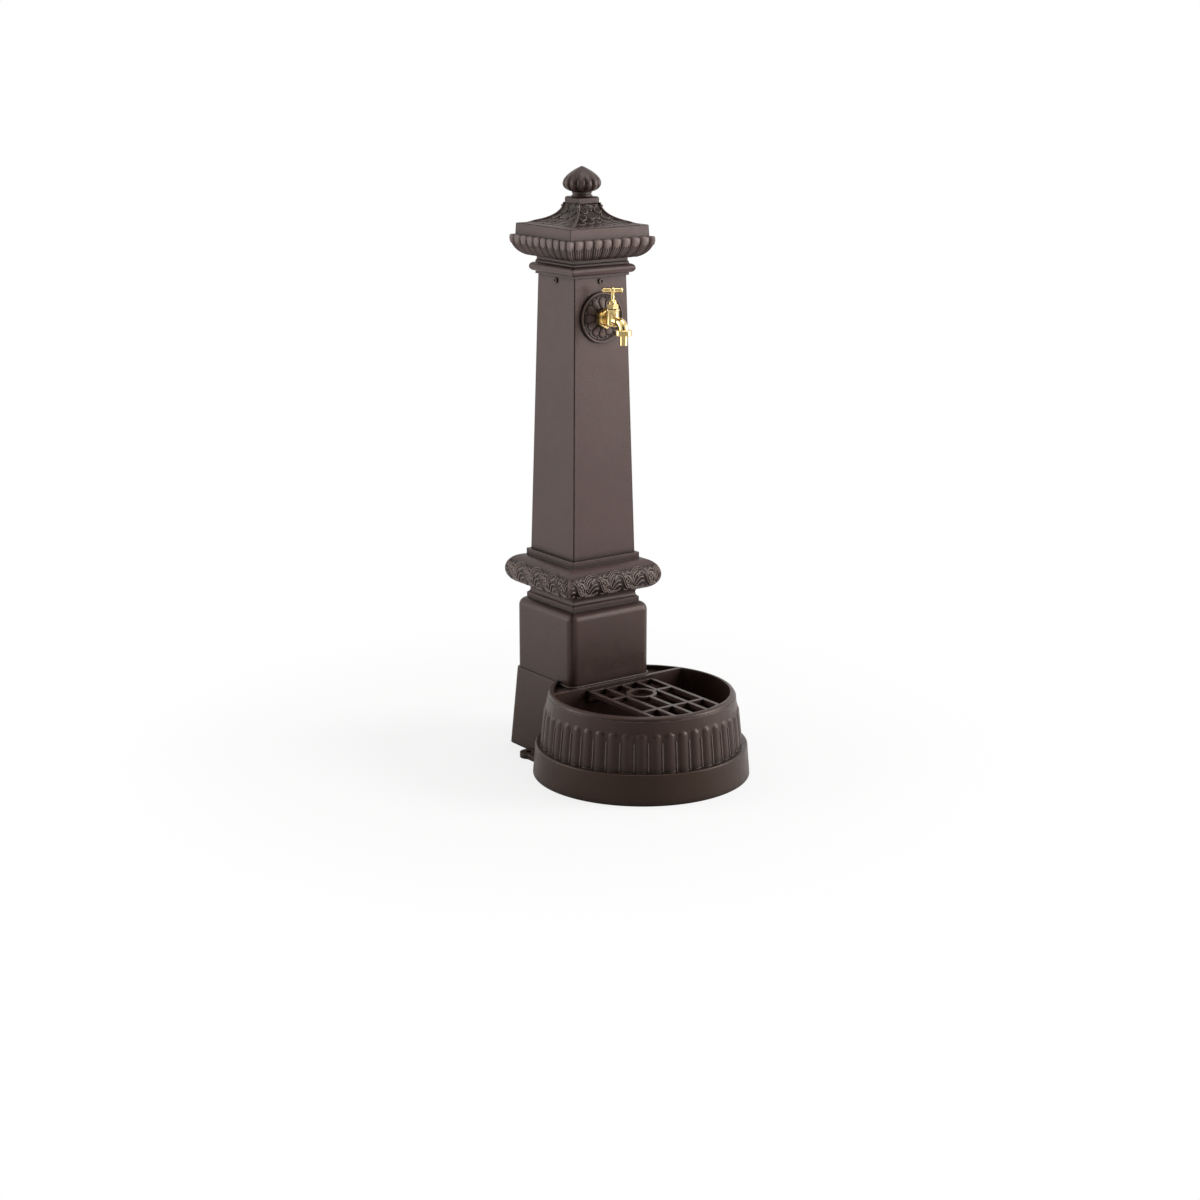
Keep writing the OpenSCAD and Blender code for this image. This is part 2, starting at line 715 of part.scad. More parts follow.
// Tap body: inlet tail, barrel with the valve seat, and the bent spout
spout_z = tap_z - 3;
elbow_r = 14.5;
outlet_y = spindle_y + spout_reach;
outlet_z = spout_z - elbow_r;
collar_r = 12.9;
seat_z = tap_z - 9.5;
seat_r = 5;
chamber_r = 9.2;
barrel_top = tap_z + 21;
barrel_low = tap_z - 14;
tail_in = boss_y - 19;
elbow_mouth = boss_y - 9;
module at_spindle() { translate([0, -spindle_y, 0]) children(); }

module spout_path(r, start) {
  translate([0, -start, spout_z]) rotate([90, 0, 0]) cylinder(r = r, h = outlet_y - elbow_r - start);
  translate([0, -outlet_y + elbow_r, outlet_z]) rotate([90, 0, -90])
    rotate_extrude(angle = 90) translate([elbow_r, 0]) circle(r);
}

module tap_body() {
  color(brass) difference() {
    union() {
      face_front(tap_z, tail_in) cylinder(r = tail_r - run_gap, h = spindle_y - tail_in);
      face_front(tap_z, nut_y + back_nut_t) cylinder(r = 11.5, h = spindle_y - nut_y - back_nut_t);
      at_spindle() translate([0, 0, barrel_low]) {
        cylinder(r = barrel_r, h = barrel_top - barrel_low);
        intersection() {
          sphere(barrel_r);
          translate([-20, -20, -7]) cube([40, 40, 7]);
        }
      }
      at_spindle() tube(barrel_r + 1.2, barrel_r - 1, barrel_top - 3, barrel_top);
      spout_path(spout_r, spindle_y);
      translate([0, -outlet_y, outlet_z - 4]) cylinder(r = collar_r, h = 5);
    }
    face_front(tap_z, tail_in - 1) cylinder(r = bore_r, h = spindle_y - chamber_r - 2.5 - tail_in + 1);
    inlet_drop();
    at_spindle() translate([0, 0, barrel_low - 3]) cylinder(r = 7.5, h = seat_z - barrel_low);
    at_spindle() translate([0, 0, seat_z - 4]) cylinder(r = seat_r, h = 8);
    at_spindle() translate([0, 0, seat_z]) cylinder(r = chamber_r, h = barrel_top - seat_z + 1);
    spout_path(bore_r, spindle_y + chamber_r - 1.5);
    translate([0, -outlet_y, outlet_z - 5]) cylinder(r = bore_r, h = 5);
  }
}

// The drop that joins the inlet to the space below the seat
module inlet_drop() {
  translate([0, -spindle_y + chamber_r + 7.5, tap_z]) rotate([142, 0, 0]) cylinder(r = 4.2, h = 18);
}

module lock_nut() {
  color(brass) face_front(tap_z, boss_y - 8) difference() {
    hex_post(28, 0, 8, 30);
    translate([0, 0, -1]) cylinder(r = tail_r, h = 12);
  }
}

module tail_washer() {
  color(black_rubber) face_front(tap_z, nut_y - washer_gap) tube(16.5, tail_r + 0.2, 0, washer_gap);
}

// Elbow on the inlet tail and the riser pipe below it
elbow_body_r = 14.5;
module inlet_elbow() {
  color(brass) difference() {
    union() {
      translate([0, -riser_y, tap_z]) sphere(elbow_body_r);
      face_front(tap_z, riser_y) cylinder(r = elbow_body_r, h = elbow_mouth - riser_y);
      translate([0, -riser_y, tap_z - 24]) cylinder(r = elbow_body_r, h = 24);
    }
    face_front(tap_z, tail_in) cylinder(r = tail_r, h = 20);
    face_front(tap_z, riser_y) cylinder(r = bore_r + 1, h = 40);
    translate([0, -riser_y, tap_z - 40]) cylinder(r = bore_r + 1, h = 40);
    translate([0, -riser_y, tap_z - 30]) cylinder(r = riser_r, h = 18);
  }
}

riser_top = tap_z - 12;
inlet_low = 6;
inlet_l = 14;
inlet_r = 10.4;
inlet_hex = 27;
riser_low = inlet_low + inlet_l + 6;
module riser_pipe() {
  color(steel) translate([0, -riser_y, 0]) tube(riser_r - run_gap, riser_r - 2.2, riser_low, riser_top);
}

// Threaded adaptor at the foot of the riser, for the supply pipe
module inlet_adaptor() {
  color(brass) translate([0, -riser_y, 0]) difference() {
    union() {
      translate([0, 0, inlet_low]) cylinder(r = inlet_r, h = inlet_l + 1);
      hex_post(inlet_hex, inlet_low + inlet_l, riser_low + 8);
    }
    translate([0, 0, inlet_low - 1]) cylinder(r = bore_r + 1, h = 60);
    translate([0, 0, riser_low]) cylinder(r = riser_r, h = 20);
  }
}

bracket_t = 5;
bracket_z = base_h + flange_t;
bracket_at = 81;
bracket_w = 19;
bracket_end = 9;
bracket_bolt_r = 3;
module riser_bracket() {
  color(steel) difference() {
    translate([-bracket_at - bracket_end, -riser_y - bracket_w, bracket_z])
      cube([2*(bracket_at + bracket_end), 2*bracket_w, bracket_t]);
    translate([0, -riser_y, bracket_z - 1]) cylinder(r = riser_r + 0.5, h = bracket_t + 2);
    for (x = [-1, 1]) translate([x*bracket_at, -riser_y, bracket_z - 1])
      cylinder(r = bracket_bolt_r + 0.4, h = bracket_t + 2);
  }
}

module riser_collar() {
  color(steel) translate([0, -riser_y, 0]) difference() {
    union() {
      tube(riser_r + 6, riser_r, bracket_z + bracket_t, bracket_z + bracket_t + 14);
      for (x = [-1, 1]) translate([x*(riser_r + 10) - 6, -3, bracket_z + bracket_t]) cube([12, 6, 14]);
    }
    translate([0, 0, bracket_z]) cylinder(r = riser_r, h = 40);
    translate([-40, -0.6, bracket_z]) cube([28, 1.2, 40]);
  }
}

module bracket_bolts() {
  color(steel) for (x = [-1, 1]) translate([x*bracket_at, -riser_y, 0]) {
    hex_post(10, bracket_z + bracket_t, bracket_z + bracket_t + 4);
    translate([0, 0, bracket_z - flange_t + 1]) cylinder(r = bracket_bolt_r, h = flange_t + bracket_t);
  }
}

// Bonnet: screws into the barrel and guides the spindle
bonnet_low = barrel_top - 13;
bonnet_hex_z = barrel_top + 1;
bonnet_top = bonnet_hex_z + 9;
spindle_r = 3.6;
nut_bore = 5;
module bonnet() {
  color(brass) at_spindle() difference() {
    union() {
      translate([0, 0, bonnet_low]) cylinder(r = chamber_r - run_gap, h = bonnet_hex_z - bonnet_low);
      hex_post(22, bonnet_hex_z, bonnet_top);
      translate([0, 0, bonnet_top]) cylinder(r = 8.2, h = 3);
    }
    translate([0, 0, bonnet_low - 1]) cylinder(r = nut_bore + run_gap, h = bonnet_top - 3 - bonnet_low + 1);
    translate([0, 0, bonnet_low]) cylinder(r = spindle_r + run_gap, h = 40);
    translate([0, 0, bonnet_top - 1]) cylinder(r = 5.4, h = 10);
  }
}

module bonnet_gasket() {
  color(black_rubber) at_spindle() tube(barrel_r, chamber_r + 0.1, barrel_top, bonnet_hex_z);
}

gland_z = bonnet_top + 3;
module gland_nut() {
  color(brass) at_spindle() difference() {
    union() {
      hex_post(14, gland_z, gland_z + 4);
      translate([0, 0, gland_z + 4]) cylinder(r1 = 7, r2 = 5.6, h = 1.5);
      translate([0, 0, bonnet_top + 1.6]) cylinder(r = 5.3, h = 3);
    }
    translate([0, 0, bonnet_top]) cylinder(r = spindle_r + run_gap, h = 20);
  }
}

module gland_packing() {
  color(black_rubber) at_spindle() tube(5.3, spindle_r + run_gap, bonnet_top - 1, bonnet_top + 1.6);
}

// Spindle: turns in the bonnet and lifts the jumper
stem_r = 2.4;
washer_z = seat_z + slip;
washer_t = 3;
disc_r = 7.6;
disc_t = 2.4;
handle_z = tap_z + 58;
turns_open = 2.5;
lift = turns_open*thread_pitch;
shoulder_z = bonnet_top - 5.5 - lift;
spindle_low = washer_z + washer_t + disc_t + slip;
module along_handle() {
  rotate([0, 0, handle_angle]) translate([-handle_w, 0, handle_z]) rotate([0, 90, 0]) children();
}
module spindle() {
  color(brass) at_spindle() difference() {
    union() {
      translate([0, 0, spindle_low]) cylinder(r = nut_bore, h = shoulder_z - spindle_low);
      translate([0, 0, spindle_low]) cylinder(r = spindle_r, h = handle_z - spindle_low);
      translate([0, 0, handle_z]) sphere(spindle_r + 2.6);
      translate([0, 0, handle_z - 9]) cylinder(r1 = spindle_r, r2 = spindle_r + 1.8, h = 9);
    }
    translate([0, 0, spindle_low - 1]) cylinder(r = stem_r + run_gap, h = 12);
    along_handle() cylinder(r = handle_r, h = 2*handle_w);
  }
}

module handle_bar() {
  color(brass) at_spindle() along_handle() rotate_extrude()
    polygon(concat([[0, 0]], arc(handle_r - 1.2, 1.2, 1.2, -90, 0, 3),
      [[handle_r + 0.6, 2], [handle_r + 0.6, 4.5], [handle_r - 0.05, 6], [handle_r - 0.05, 2*handle_w - 6],
      [handle_r + 0.6, 2*handle_w - 4.5], [handle_r + 0.6, 2*handle_w - 2]],
      arc(handle_r - 1.2, 2*handle_w - 1.2, 1.2, 0, 90, 3), [[0, 2*handle_w]]));
}

// Jumper: a stem in the spindle, a disc, the rubber washer and its nut
module jumper_valve() {
  color(brass) at_spindle() union() {
    translate([0, 0, washer_z + washer_t]) cylinder(r = disc_r, h = disc_t);
    translate([0, 0, washer_z + washer_t]) cylinder(r = stem_r, h = spindle_low + 8 - washer_z - washer_t);
    translate([0, 0, washer_z - 3]) cylinder(r = 1.6, h = washer_t + 4);
  }
}

module seat_washer() {
  color(black_rubber) at_spindle() tube(disc_r - 0.3, 1.6, washer_z, washer_z + washer_t);
}

module washer_nut() {
  color(brass) at_spindle() difference() {
    hex_post(6, washer_z - 2.4, washer_z);
    translate([0, 0, washer_z - 4]) cylinder(r = 1.6, h = 6);
  }
}

// Union nut, hose tail and its washer at the outlet
hose_flange_t = 2.5;
hose_washer_t = 1.5;
union_low = outlet_z - 4 - hose_washer_t - hose_flange_t - 2;
module at_outlet() { translate([0, -outlet_y, 0]) children(); }
module union_nut() {
  color(brass) at_outlet() difference() {
    rotate_extrude($fn = 72) polygon(concat([[0, union_low]], arc(15.55, union_low + 1.2, 1.2, -90, 0, 3),
      arc(15.55, outlet_z - 0.2, 1.2, 0, 90, 3), [[0, outlet_z + 1]]));
    translate([0, 0, union_low + 2]) cylinder(r = collar_r + run_gap, h = 20);
    translate([0, 0, union_low - 1]) cylinder(r = hose_r + 0.4, h = 20);
  }
}

module hose_washer() {
  color(black_rubber) at_outlet() tube(collar_r - 0.2, bore_r, outlet_z - 4 - hose_washer_t, outlet_z - 4);
}

module hose_tail() {
  color(brass) at_outlet() difference() {
    union() {
      translate([0, 0, union_low + 2]) cylinder(r = collar_r - 0.2, h = hose_flange_t);
      translate([0, 0, union_low - hose_l]) cylinder(r = hose_r, h = hose_l);
      translate([0, 0, union_low - 1]) cylinder(r = hose_r - 0.3, h = 4);
    }
    translate([0, 0, union_low - hose_l - 1]) cylinder(r = 5, h = hose_l + 20);
  }
}

// Bucket grate: five long bars, three cross bars and a ring on the basin's centre
module grate_bars() {
  front_y = basin_y + bowl_r - slip - 3;
  back_y = rear_y + wall/2 + 1;
  for (x = [-1, -0.5, 0, 0.5, 1]) translate([x*(grate_w - bar_w/2) - bar_w/2, -front_y])
    square([bar_w, front_y - back_y]);
  for (y = [back_y, basin_y - bar_w/2, basin_y + 103 - bar_w/2]) translate([-grate_w, -y - bar_w])
    square([2*grate_w, bar_w]);
}

module grate() {
  grate_r = bowl_r - 3;
  color(iron) translate([0, 0, rest_z]) linear_extrude(height = grate_t) {
    difference() {
      union() {
        intersection() {
          grate_bars();
          translate([0, -basin_y]) circle(grate_r, $fn = 96);
        }
        intersection() {
          translate([0, -basin_y]) difference() {
            circle(grate_r, $fn = 96);
            circle(grate_r - bar_w, $fn = 96);
          }
          translate([-grate_w, -basin_y - grate_r]) square([2*grate_w, 80]);
        }
        translate([0, -basin_y]) circle(ring_r);
      }
      translate([0, -basin_y]) circle(ring_r - bar_w);
    }
  }
}

// Drain strainer in the pocket, and the ring that the drain pipe seals on
module drain_strainer() {
  color(brass) translate([0, -drain_y, pocket_z - strainer_t]) difference() {
    cylinder(r = strainer_r, h = strainer_t);
    translate([0, 0, -1]) cylinder(r = 2.5, h = 5);
    for (a = [0:45:315]) rotate([0, 0, a]) translate([8.5, 0, -1]) cylinder(r = 2.5, h = 5);
  }
}

module drain_seal() {
  color(black_rubber) translate([0, -drain_y, 0])
    tube(seal_r - run_gap, drain_r - 2.5, spigot_stop - seal_t, spigot_stop);
}

base_casting();
pedestal();
shaft_plate_front();
shaft_plate_right();
shaft_plate_back();
shaft_plate_left();
capital();
roof();
finial();
tie_rod();
tie_bridge();
tie_nut();
plate_screws();
pedestal_bolts();
pedestal_nuts();
rosette();
back_nut();
tap_body();
lock_nut();
tail_washer();
inlet_elbow();
riser_pipe();
inlet_adaptor();
riser_bracket();
riser_collar();
bracket_bolts();
bonnet();
bonnet_gasket();
gland_nut();
gland_packing();
spindle();
handle_bar();
jumper_valve();
seat_washer();
washer_nut();
union_nut();
hose_tail();
hose_washer();
grate();
drain_strainer();
drain_seal();
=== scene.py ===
"""Finish, carved ornament and stage of the column fountain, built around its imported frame."""

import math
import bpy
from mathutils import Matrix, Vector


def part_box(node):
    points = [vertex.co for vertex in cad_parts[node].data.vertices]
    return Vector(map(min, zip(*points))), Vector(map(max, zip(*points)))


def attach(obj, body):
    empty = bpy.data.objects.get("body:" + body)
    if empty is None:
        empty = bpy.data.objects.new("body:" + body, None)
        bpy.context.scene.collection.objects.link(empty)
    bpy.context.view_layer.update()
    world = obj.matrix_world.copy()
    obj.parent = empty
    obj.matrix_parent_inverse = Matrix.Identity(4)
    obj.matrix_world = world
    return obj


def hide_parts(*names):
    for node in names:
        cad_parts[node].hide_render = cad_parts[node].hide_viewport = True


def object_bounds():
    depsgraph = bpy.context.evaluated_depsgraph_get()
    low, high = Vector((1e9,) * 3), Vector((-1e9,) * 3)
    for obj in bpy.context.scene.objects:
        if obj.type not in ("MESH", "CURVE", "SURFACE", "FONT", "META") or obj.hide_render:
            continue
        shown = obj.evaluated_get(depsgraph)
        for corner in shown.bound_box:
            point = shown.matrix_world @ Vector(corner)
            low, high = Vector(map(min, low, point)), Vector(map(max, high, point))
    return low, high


bl_info = {
    "name": "Column Fountain Finish",
    "version": (1, 0, 0),
    "blender": (4, 5, 0),
    "location": "View3D > Sidebar > Fountain",
    "description": "Paints the castings, polishes the tap, adds the carved ornament and sets the stage",
    "category": "Object",
}

import bmesh
import bpy
import numpy as np
from bpy.props import FloatProperty, FloatVectorProperty, IntProperty, PointerProperty
from mathutils import Matrix, Vector

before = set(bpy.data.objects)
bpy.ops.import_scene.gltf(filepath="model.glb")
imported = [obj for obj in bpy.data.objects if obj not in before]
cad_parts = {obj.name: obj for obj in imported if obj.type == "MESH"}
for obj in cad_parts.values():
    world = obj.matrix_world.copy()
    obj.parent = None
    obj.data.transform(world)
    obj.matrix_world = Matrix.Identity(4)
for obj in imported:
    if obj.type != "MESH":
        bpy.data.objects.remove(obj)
CAD_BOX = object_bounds()

MM = 0.001
PEDESTAL_LOW, PEDESTAL_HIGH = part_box("pedestal")
CAPITAL_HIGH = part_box("capital")[1]
ROOF_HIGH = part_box("roof")[1]
FINIAL_LOW, FINIAL_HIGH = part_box("finial")
ROSETTE_LOW, ROSETTE_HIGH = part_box("rosette")

# Points nearer than these distances become one: in a frame node's mesh, on a small form and at a mitre
NODE_JOIN = 0.000002
SMALL_JOIN = 0.00001
MITRE_JOIN = 0.00002

# Heights in metres between which painted shade makes the paint darker and browner, at the foot and on the
# roof, and above which corners are mitred joints
FOOT_SHADE_FADE = (0.40, 0.05)
ROOF_SHADE_FADE = (1.085, 1.110)
MITRE_START = (0.205, 0.215)

# Sizes of the castings in millimetres that the frame's boxes don't give
ROLL_RISE = 209.5  # the big roll's centre line above the pedestal's foot
DRUM_FOOT = 62.0  # height of the ledge that the basin's reeds stand on
DRUM_RISE = 100.0  # from that ledge up to the smooth band

IRON_NODES = (
    "base_casting", "pedestal", "shaft_plate_front", "shaft_plate_right", "shaft_plate_back",
    "shaft_plate_left", "capital", "roof", "finial", "rosette", "grate",
)
BRASS_NODES = (
    "back_nut", "tap_body", "lock_nut", "inlet_elbow", "inlet_adaptor", "bonnet", "gland_nut",
    "spindle", "handle_bar", "jumper_valve", "washer_nut", "union_nut", "hose_tail", "drain_strainer",
)
STEEL_NODES = (
    "tie_rod", "tie_bridge", "tie_nut", "pedestal_bolts", "pedestal_nuts", "riser_pipe",
    "riser_bracket", "riser_collar", "bracket_bolts",
)
RUBBER_NODES = (
    "tail_washer", "bonnet_gasket", "gland_packing", "seat_washer", "hose_washer", "drain_seal",
)


# Settings


def colour_setting(name, description, default):
    """A colour that the user picks."""
    return FloatVectorProperty(
        name=name, description=description, subtype="COLOR", size=3, default=default, min=0.0, max=1.0)


def length_setting(name, description, default, low, high):
    """A length in metres that the user sets between two limits."""
    return FloatProperty(
        name=name, description=description, unit="LENGTH", default=default, min=low, max=high)


def count_setting(name, description, default, low, high):
    """A whole number that the user sets between two limits."""
    return IntProperty(name=name, description=description, default=default, min=low, max=high)


def share_setting(name, description, default, high=1.0):
    """A share of one that the user sets on a slider."""
    return FloatProperty(
        name=name, description=description, subtype="FACTOR", default=default, min=0.0, max=high)


def power_setting(name, description, default):
    """A lamp's power in watts that the user sets."""
    return FloatProperty(
        name=name, description=description, unit="POWER", default=default, min=0.0, max=2000.0)


class FinishSettings(bpy.types.PropertyGroup):
    """Colours and gloss of the fountain's materials"""

    paint_colour: colour_setting(
        "Paint", "Colour of the satin paint on the castings", (0.080, 0.0520, 0.0500))
    # Painted shade: dark brown laid over the paint low on the basin and the plinth and on the roof, where
    # shade falls
    foot_shade_colour: colour_setting(
        "Foot", "Darker, browner paint low on the basin and the plinth", (0.024, 0.0105, 0.0055))
    # Painted shade in hollows, corners and the carving's hollows; also the dirt in the mitred joints
    shade_and_joint_dirt_colour: colour_setting(
        "Recesses", "Darker, browner paint in hollows and corners", (0.0085, 0.0046, 0.0032))
    # Edges worn lighter, with a painted highlight along them and on the carving's crests
    wear_and_highlight_colour: colour_setting(
        "Edges", "Paint rubbed lighter along the edges", (0.260, 0.205, 0.185))
    paint_roughness: share_setting("Paint roughness", "Gloss of the satin paint, low is shiny", 0.33)
    brass_colour: colour_setting("Brass", "Colour of the polished brass", (0.8314, 0.6196, 0.2784))
    brass_roughness: share_setting("Brass roughness", "Gloss of the brass, low is a mirror polish", 0.1)
    edge_radius: length_setting(
        "Edge radius", "Radius that the cast edges look rounded to", 0.0017, 0.0, 0.01)


class OrnamentSettings(bpy.types.PropertyGroup):
    """Sizes of the carved ornament"""

    roll_half_width: length_setting(
        "Roll half width", "Distance from the axis to the centre line of the big roll", 0.084, 0.05, 0.2)
    scroll_pitch: length_setting(
        "Scroll pitch", "Distance from one scroll ring to the next along the roll", 0.057, 0.03, 0.1)
    scroll_height: length_setting(
        "Scroll height", "How far the scroll strokes stand out of the roll", 0.0022, 0.0, 0.006)
    leaf_count: count_setting(
        "Leaves a side", "Number of upright leaves on each side of the capital", 8, 2, 20)
    leaf_height: length_setting(
        "Leaf height", "How far the capital's leaves stand out", 0.0028, 0.0, 0.006)
    feather_height: length_setting(
        "Roof leaf height", "How far the leaf lobes stand out of the roof", 0.0034, 0.0, 0.006)
    finial_lobes: count_setting("Finial lobes", "Number of lobes round the onion", 14, 4, 24)
    petal_count: count_setting("Petals", "Number of petals on the rosette", 12, 4, 24)
    petal_height: length_setting(
        "Petal height", "How far the rosette's petals stand out", 0.0018, 0.0, 0.005)
    ovolo_radius: length_setting(
        "Quarter-round", "Radius of the capital's quarter-round under the leaves", 0.035, 0.02, 0.05)
    leaf_lean: FloatProperty(
        name="Leaf lean", description="Degrees that the roof's leaves sweep down from the hips",
        default=36.0, min=0.0, max=80.0)
    cushion_height: length_setting(
        "Cushion", "Height of the square cushion on the roof", 0.012, 0.005, 0.03)
    cushion_width: length_setting(
        "Cushion half width", "Half width of the square cushion on the roof", 0.027, 0.02, 0.035)
    roof_rise: length_setting(
        "Roof rise", "Height of the hollow-curved roof above its slab", 0.043, 0.02, 0.08)
    finial_radius: length_setting(
        "Finial radius", "Radius of the onion over its lobes", 0.0388, 0.02, 0.06)
    plate_lean: FloatProperty(
        name="Plate lean", description="Degrees that the shaft's plates lean inwards",
        default=1.3462, min=0.0, max=5.0)
    drum_radius: length_setting(
        "Drum radius", "Radius of the basin's drum at the ledge below the reeds", 0.201, 0.1, 0.3)
    drum_taper: length_setting(
        "Drum taper", "How much the drum's radius shrinks up to the smooth band", 0.0105, 0.0, 0.05)
    basin_reach: length_setting(
        "Basin reach", "Distance from the column's axis to the basin's", 0.204, 0.1, 0.3)
    body_lift: share_setting(
        "Body lift", "How much the tap's body is drawn up under its valve", 0.36, 0.6)
    reed_count: count_setting("Reeds", "Number of reeds round a full drum", 44, 12, 60)
    dart_top: length_setting(
        "Dart top", "Height of the thin darts between the reeds", 0.122, 0.08, 0.14)


class StageSettings(bpy.types.PropertyGroup):
    """Camera, floor and lamps"""

    camera_place: FloatVectorProperty(
        name="Camera", description="Where the camera stands",
        subtype="XYZ", unit="LENGTH", size=3, default=(-2.66173, -3.74823, 1.52600))
    camera_aim: FloatVectorProperty(
        name="Camera aim", description="Direction that the camera looks in",
        subtype="DIRECTION", size=3, default=(0.56596653, 0.78400758, -0.25497842))
    lens: FloatProperty(
        name="Lens", description="Focal length in millimetres on a 36 mm wide sensor",
        default=68.879, min=10.0, max=300.0)
    floor_colour: colour_setting("Floor", "Colour of the floor", (0.86, 0.86, 0.86))
    tent_light: FloatProperty(
        name="Tent light", description="Brightness of the white tent beside and behind the fountain",
        default=0.62, min=0.0, max=3.0)
    room_light: FloatProperty(
        name="Room light", description="Brightness of the dark room behind the camera",
        default=0.04, min=0.0, max=3.0)
    right_power: power_setting("Right lamp", "Power of the large soft lamp on the right", 126.0)
    left_power: power_setting("Left lamp", "Power of the soft lamp behind the left side", 54.0)
    top_power: power_setting("Top lamp", "Power of the soft lamp overhead", 26.0)


# Material building blocks


def fill(tree, node, inputs):
    """Links sockets to a node's inputs, and sets the other inputs to plain values."""
    for key, value in inputs.items():
        if isinstance(value, bpy.types.NodeSocket):
            tree.links.new(value, node.inputs[key])
        else:
            node.inputs[key].default_value = value


def add_node(tree, kind, inputs, **attributes):
    """Adds a node, sets its attributes and fills its inputs."""
    made = tree.nodes.new(kind)
    for key, value in attributes.items():
        setattr(made, key, value)
    fill(tree, made, inputs)
    return made


def mix_colours(tree, factor, first, second, blend="MIX"):
    """Mixes two colours by a factor."""
    return add_node(tree, "ShaderNodeMix", {0: factor, 6: first, 7: second},
                    data_type="RGBA", blend_type=blend).outputs[2]


def calculate(tree, operation, first, second=0.0, clamp=False):
    """The result of one operation on two numbers."""
    return add_node(tree, "ShaderNodeMath", {0: first, 1: second},
                    operation=operation, use_clamp=clamp).outputs[0]


def multiply(tree, first, second):
    """The product of two numbers."""
    return calculate(tree, "MULTIPLY", first, second)


def reach_along(tree, vector, direction):
    """How far a vector reaches along a direction."""
    return add_node(tree, "ShaderNodeVectorMath", {0: vector, 1: direction},
                    operation="DOT_PRODUCT").outputs["Value"]


def noise(tree, place, scale, detail=3.0):
    """Soft blotches between 0 and 1; a larger scale makes them smaller."""
    return add_node(
        tree, "ShaderNodeTexNoise",
        {"Vector": place, "Scale": scale, "Detail": detail, "Roughness": 0.55},
    ).outputs["Fac"]


def ramp(tree, value, low, high, to_low=0.0, to_high=1.0):
    """Turns a range of values into another and holds it at both ends."""
    return add_node(
        tree, "ShaderNodeMapRange",
        {"Value": value, "From Min": low, "From Max": high, "To Min": to_low, "To Max": to_high},
        clamp=True,
    ).outputs["Result"]


def start_material(name):
    """A new material with its node tree and its shader."""
    material = bpy.data.materials.new(name)
    material.use_nodes = True
    tree = material.node_tree
    tree.nodes.clear()
    output = tree.nodes.new("ShaderNodeOutputMaterial")
    shader = tree.nodes.new("ShaderNodeBsdfPrincipled")
    tree.links.new(shader.outputs[0], output.inputs["Surface"])
    return material, tree, shader


def object_place(tree):
    """The point's place on the object."""
    return tree.nodes.new("ShaderNodeTexCoord").outputs["Object"]


def opaque(colour, shares=(1.0, 1.0, 1.0)):
    """A colour with full opacity, each of its channels times its share."""
    return tuple(channel * share for channel, share in zip(colour, shares)) + (1.0,)


def rounded_normal(tree, radius):
    """The surface's direction as if its edges were rounded."""
    return add_node(tree, "ShaderNodeBevel", {"Radius": radius}, samples=4).outputs[0]


def edge_mask(tree, rounded):
    """High on edges, where the rounded direction turns away from the true one, and 0 in flats."""
    flat = tree.nodes.new("ShaderNodeNewGeometry").outputs["Normal"]
    return ramp(tree, reach_along(tree, rounded, flat), 0.995, 0.80)


def hollow_shade_mask(tree):
    """High in hollows that surfaces within 13 millimetres shut in, where painted shade goes."""
    shut_in = add_node(tree, "ShaderNodeAmbientOcclusion", {"Distance": 0.013}, samples=6)
    return ramp(tree, shut_in.outputs["AO"], 0.985, 0.60)


def fine_relief(tree, strength, distance, height, under):
    """The direction of a surface with a fine relief on it, laid over another direction."""
    return add_node(
        tree, "ShaderNodeBump",
        {"Strength": strength, "Distance": distance, "Height": height, "Normal": under},
    ).outputs[0]


def mitre_dirt(tree, place, height, blotch):
    """Dirt in the mitred joints at the column's corners, where x and y are equally far out."""
    apart = add_node(tree, "ShaderNodeVectorMath", {0: place}, operation="ABSOLUTE").outputs[0]
    apart = add_node(tree, "ShaderNodeSeparateXYZ", {"Vector": apart}).outputs
    off_joint = calculate(tree, "ABSOLUTE", calculate(tree, "SUBTRACT", apart["X"], apart["Y"]))
    dirt = multiply(tree, ramp(tree, off_joint, 0.0032, 0.0009, 0.0, 0.85),
                    ramp(tree, height, *MITRE_START))
    return multiply(tree, dirt, ramp(tree, blotch, 0.30, 0.55, 0.45, 1.0))


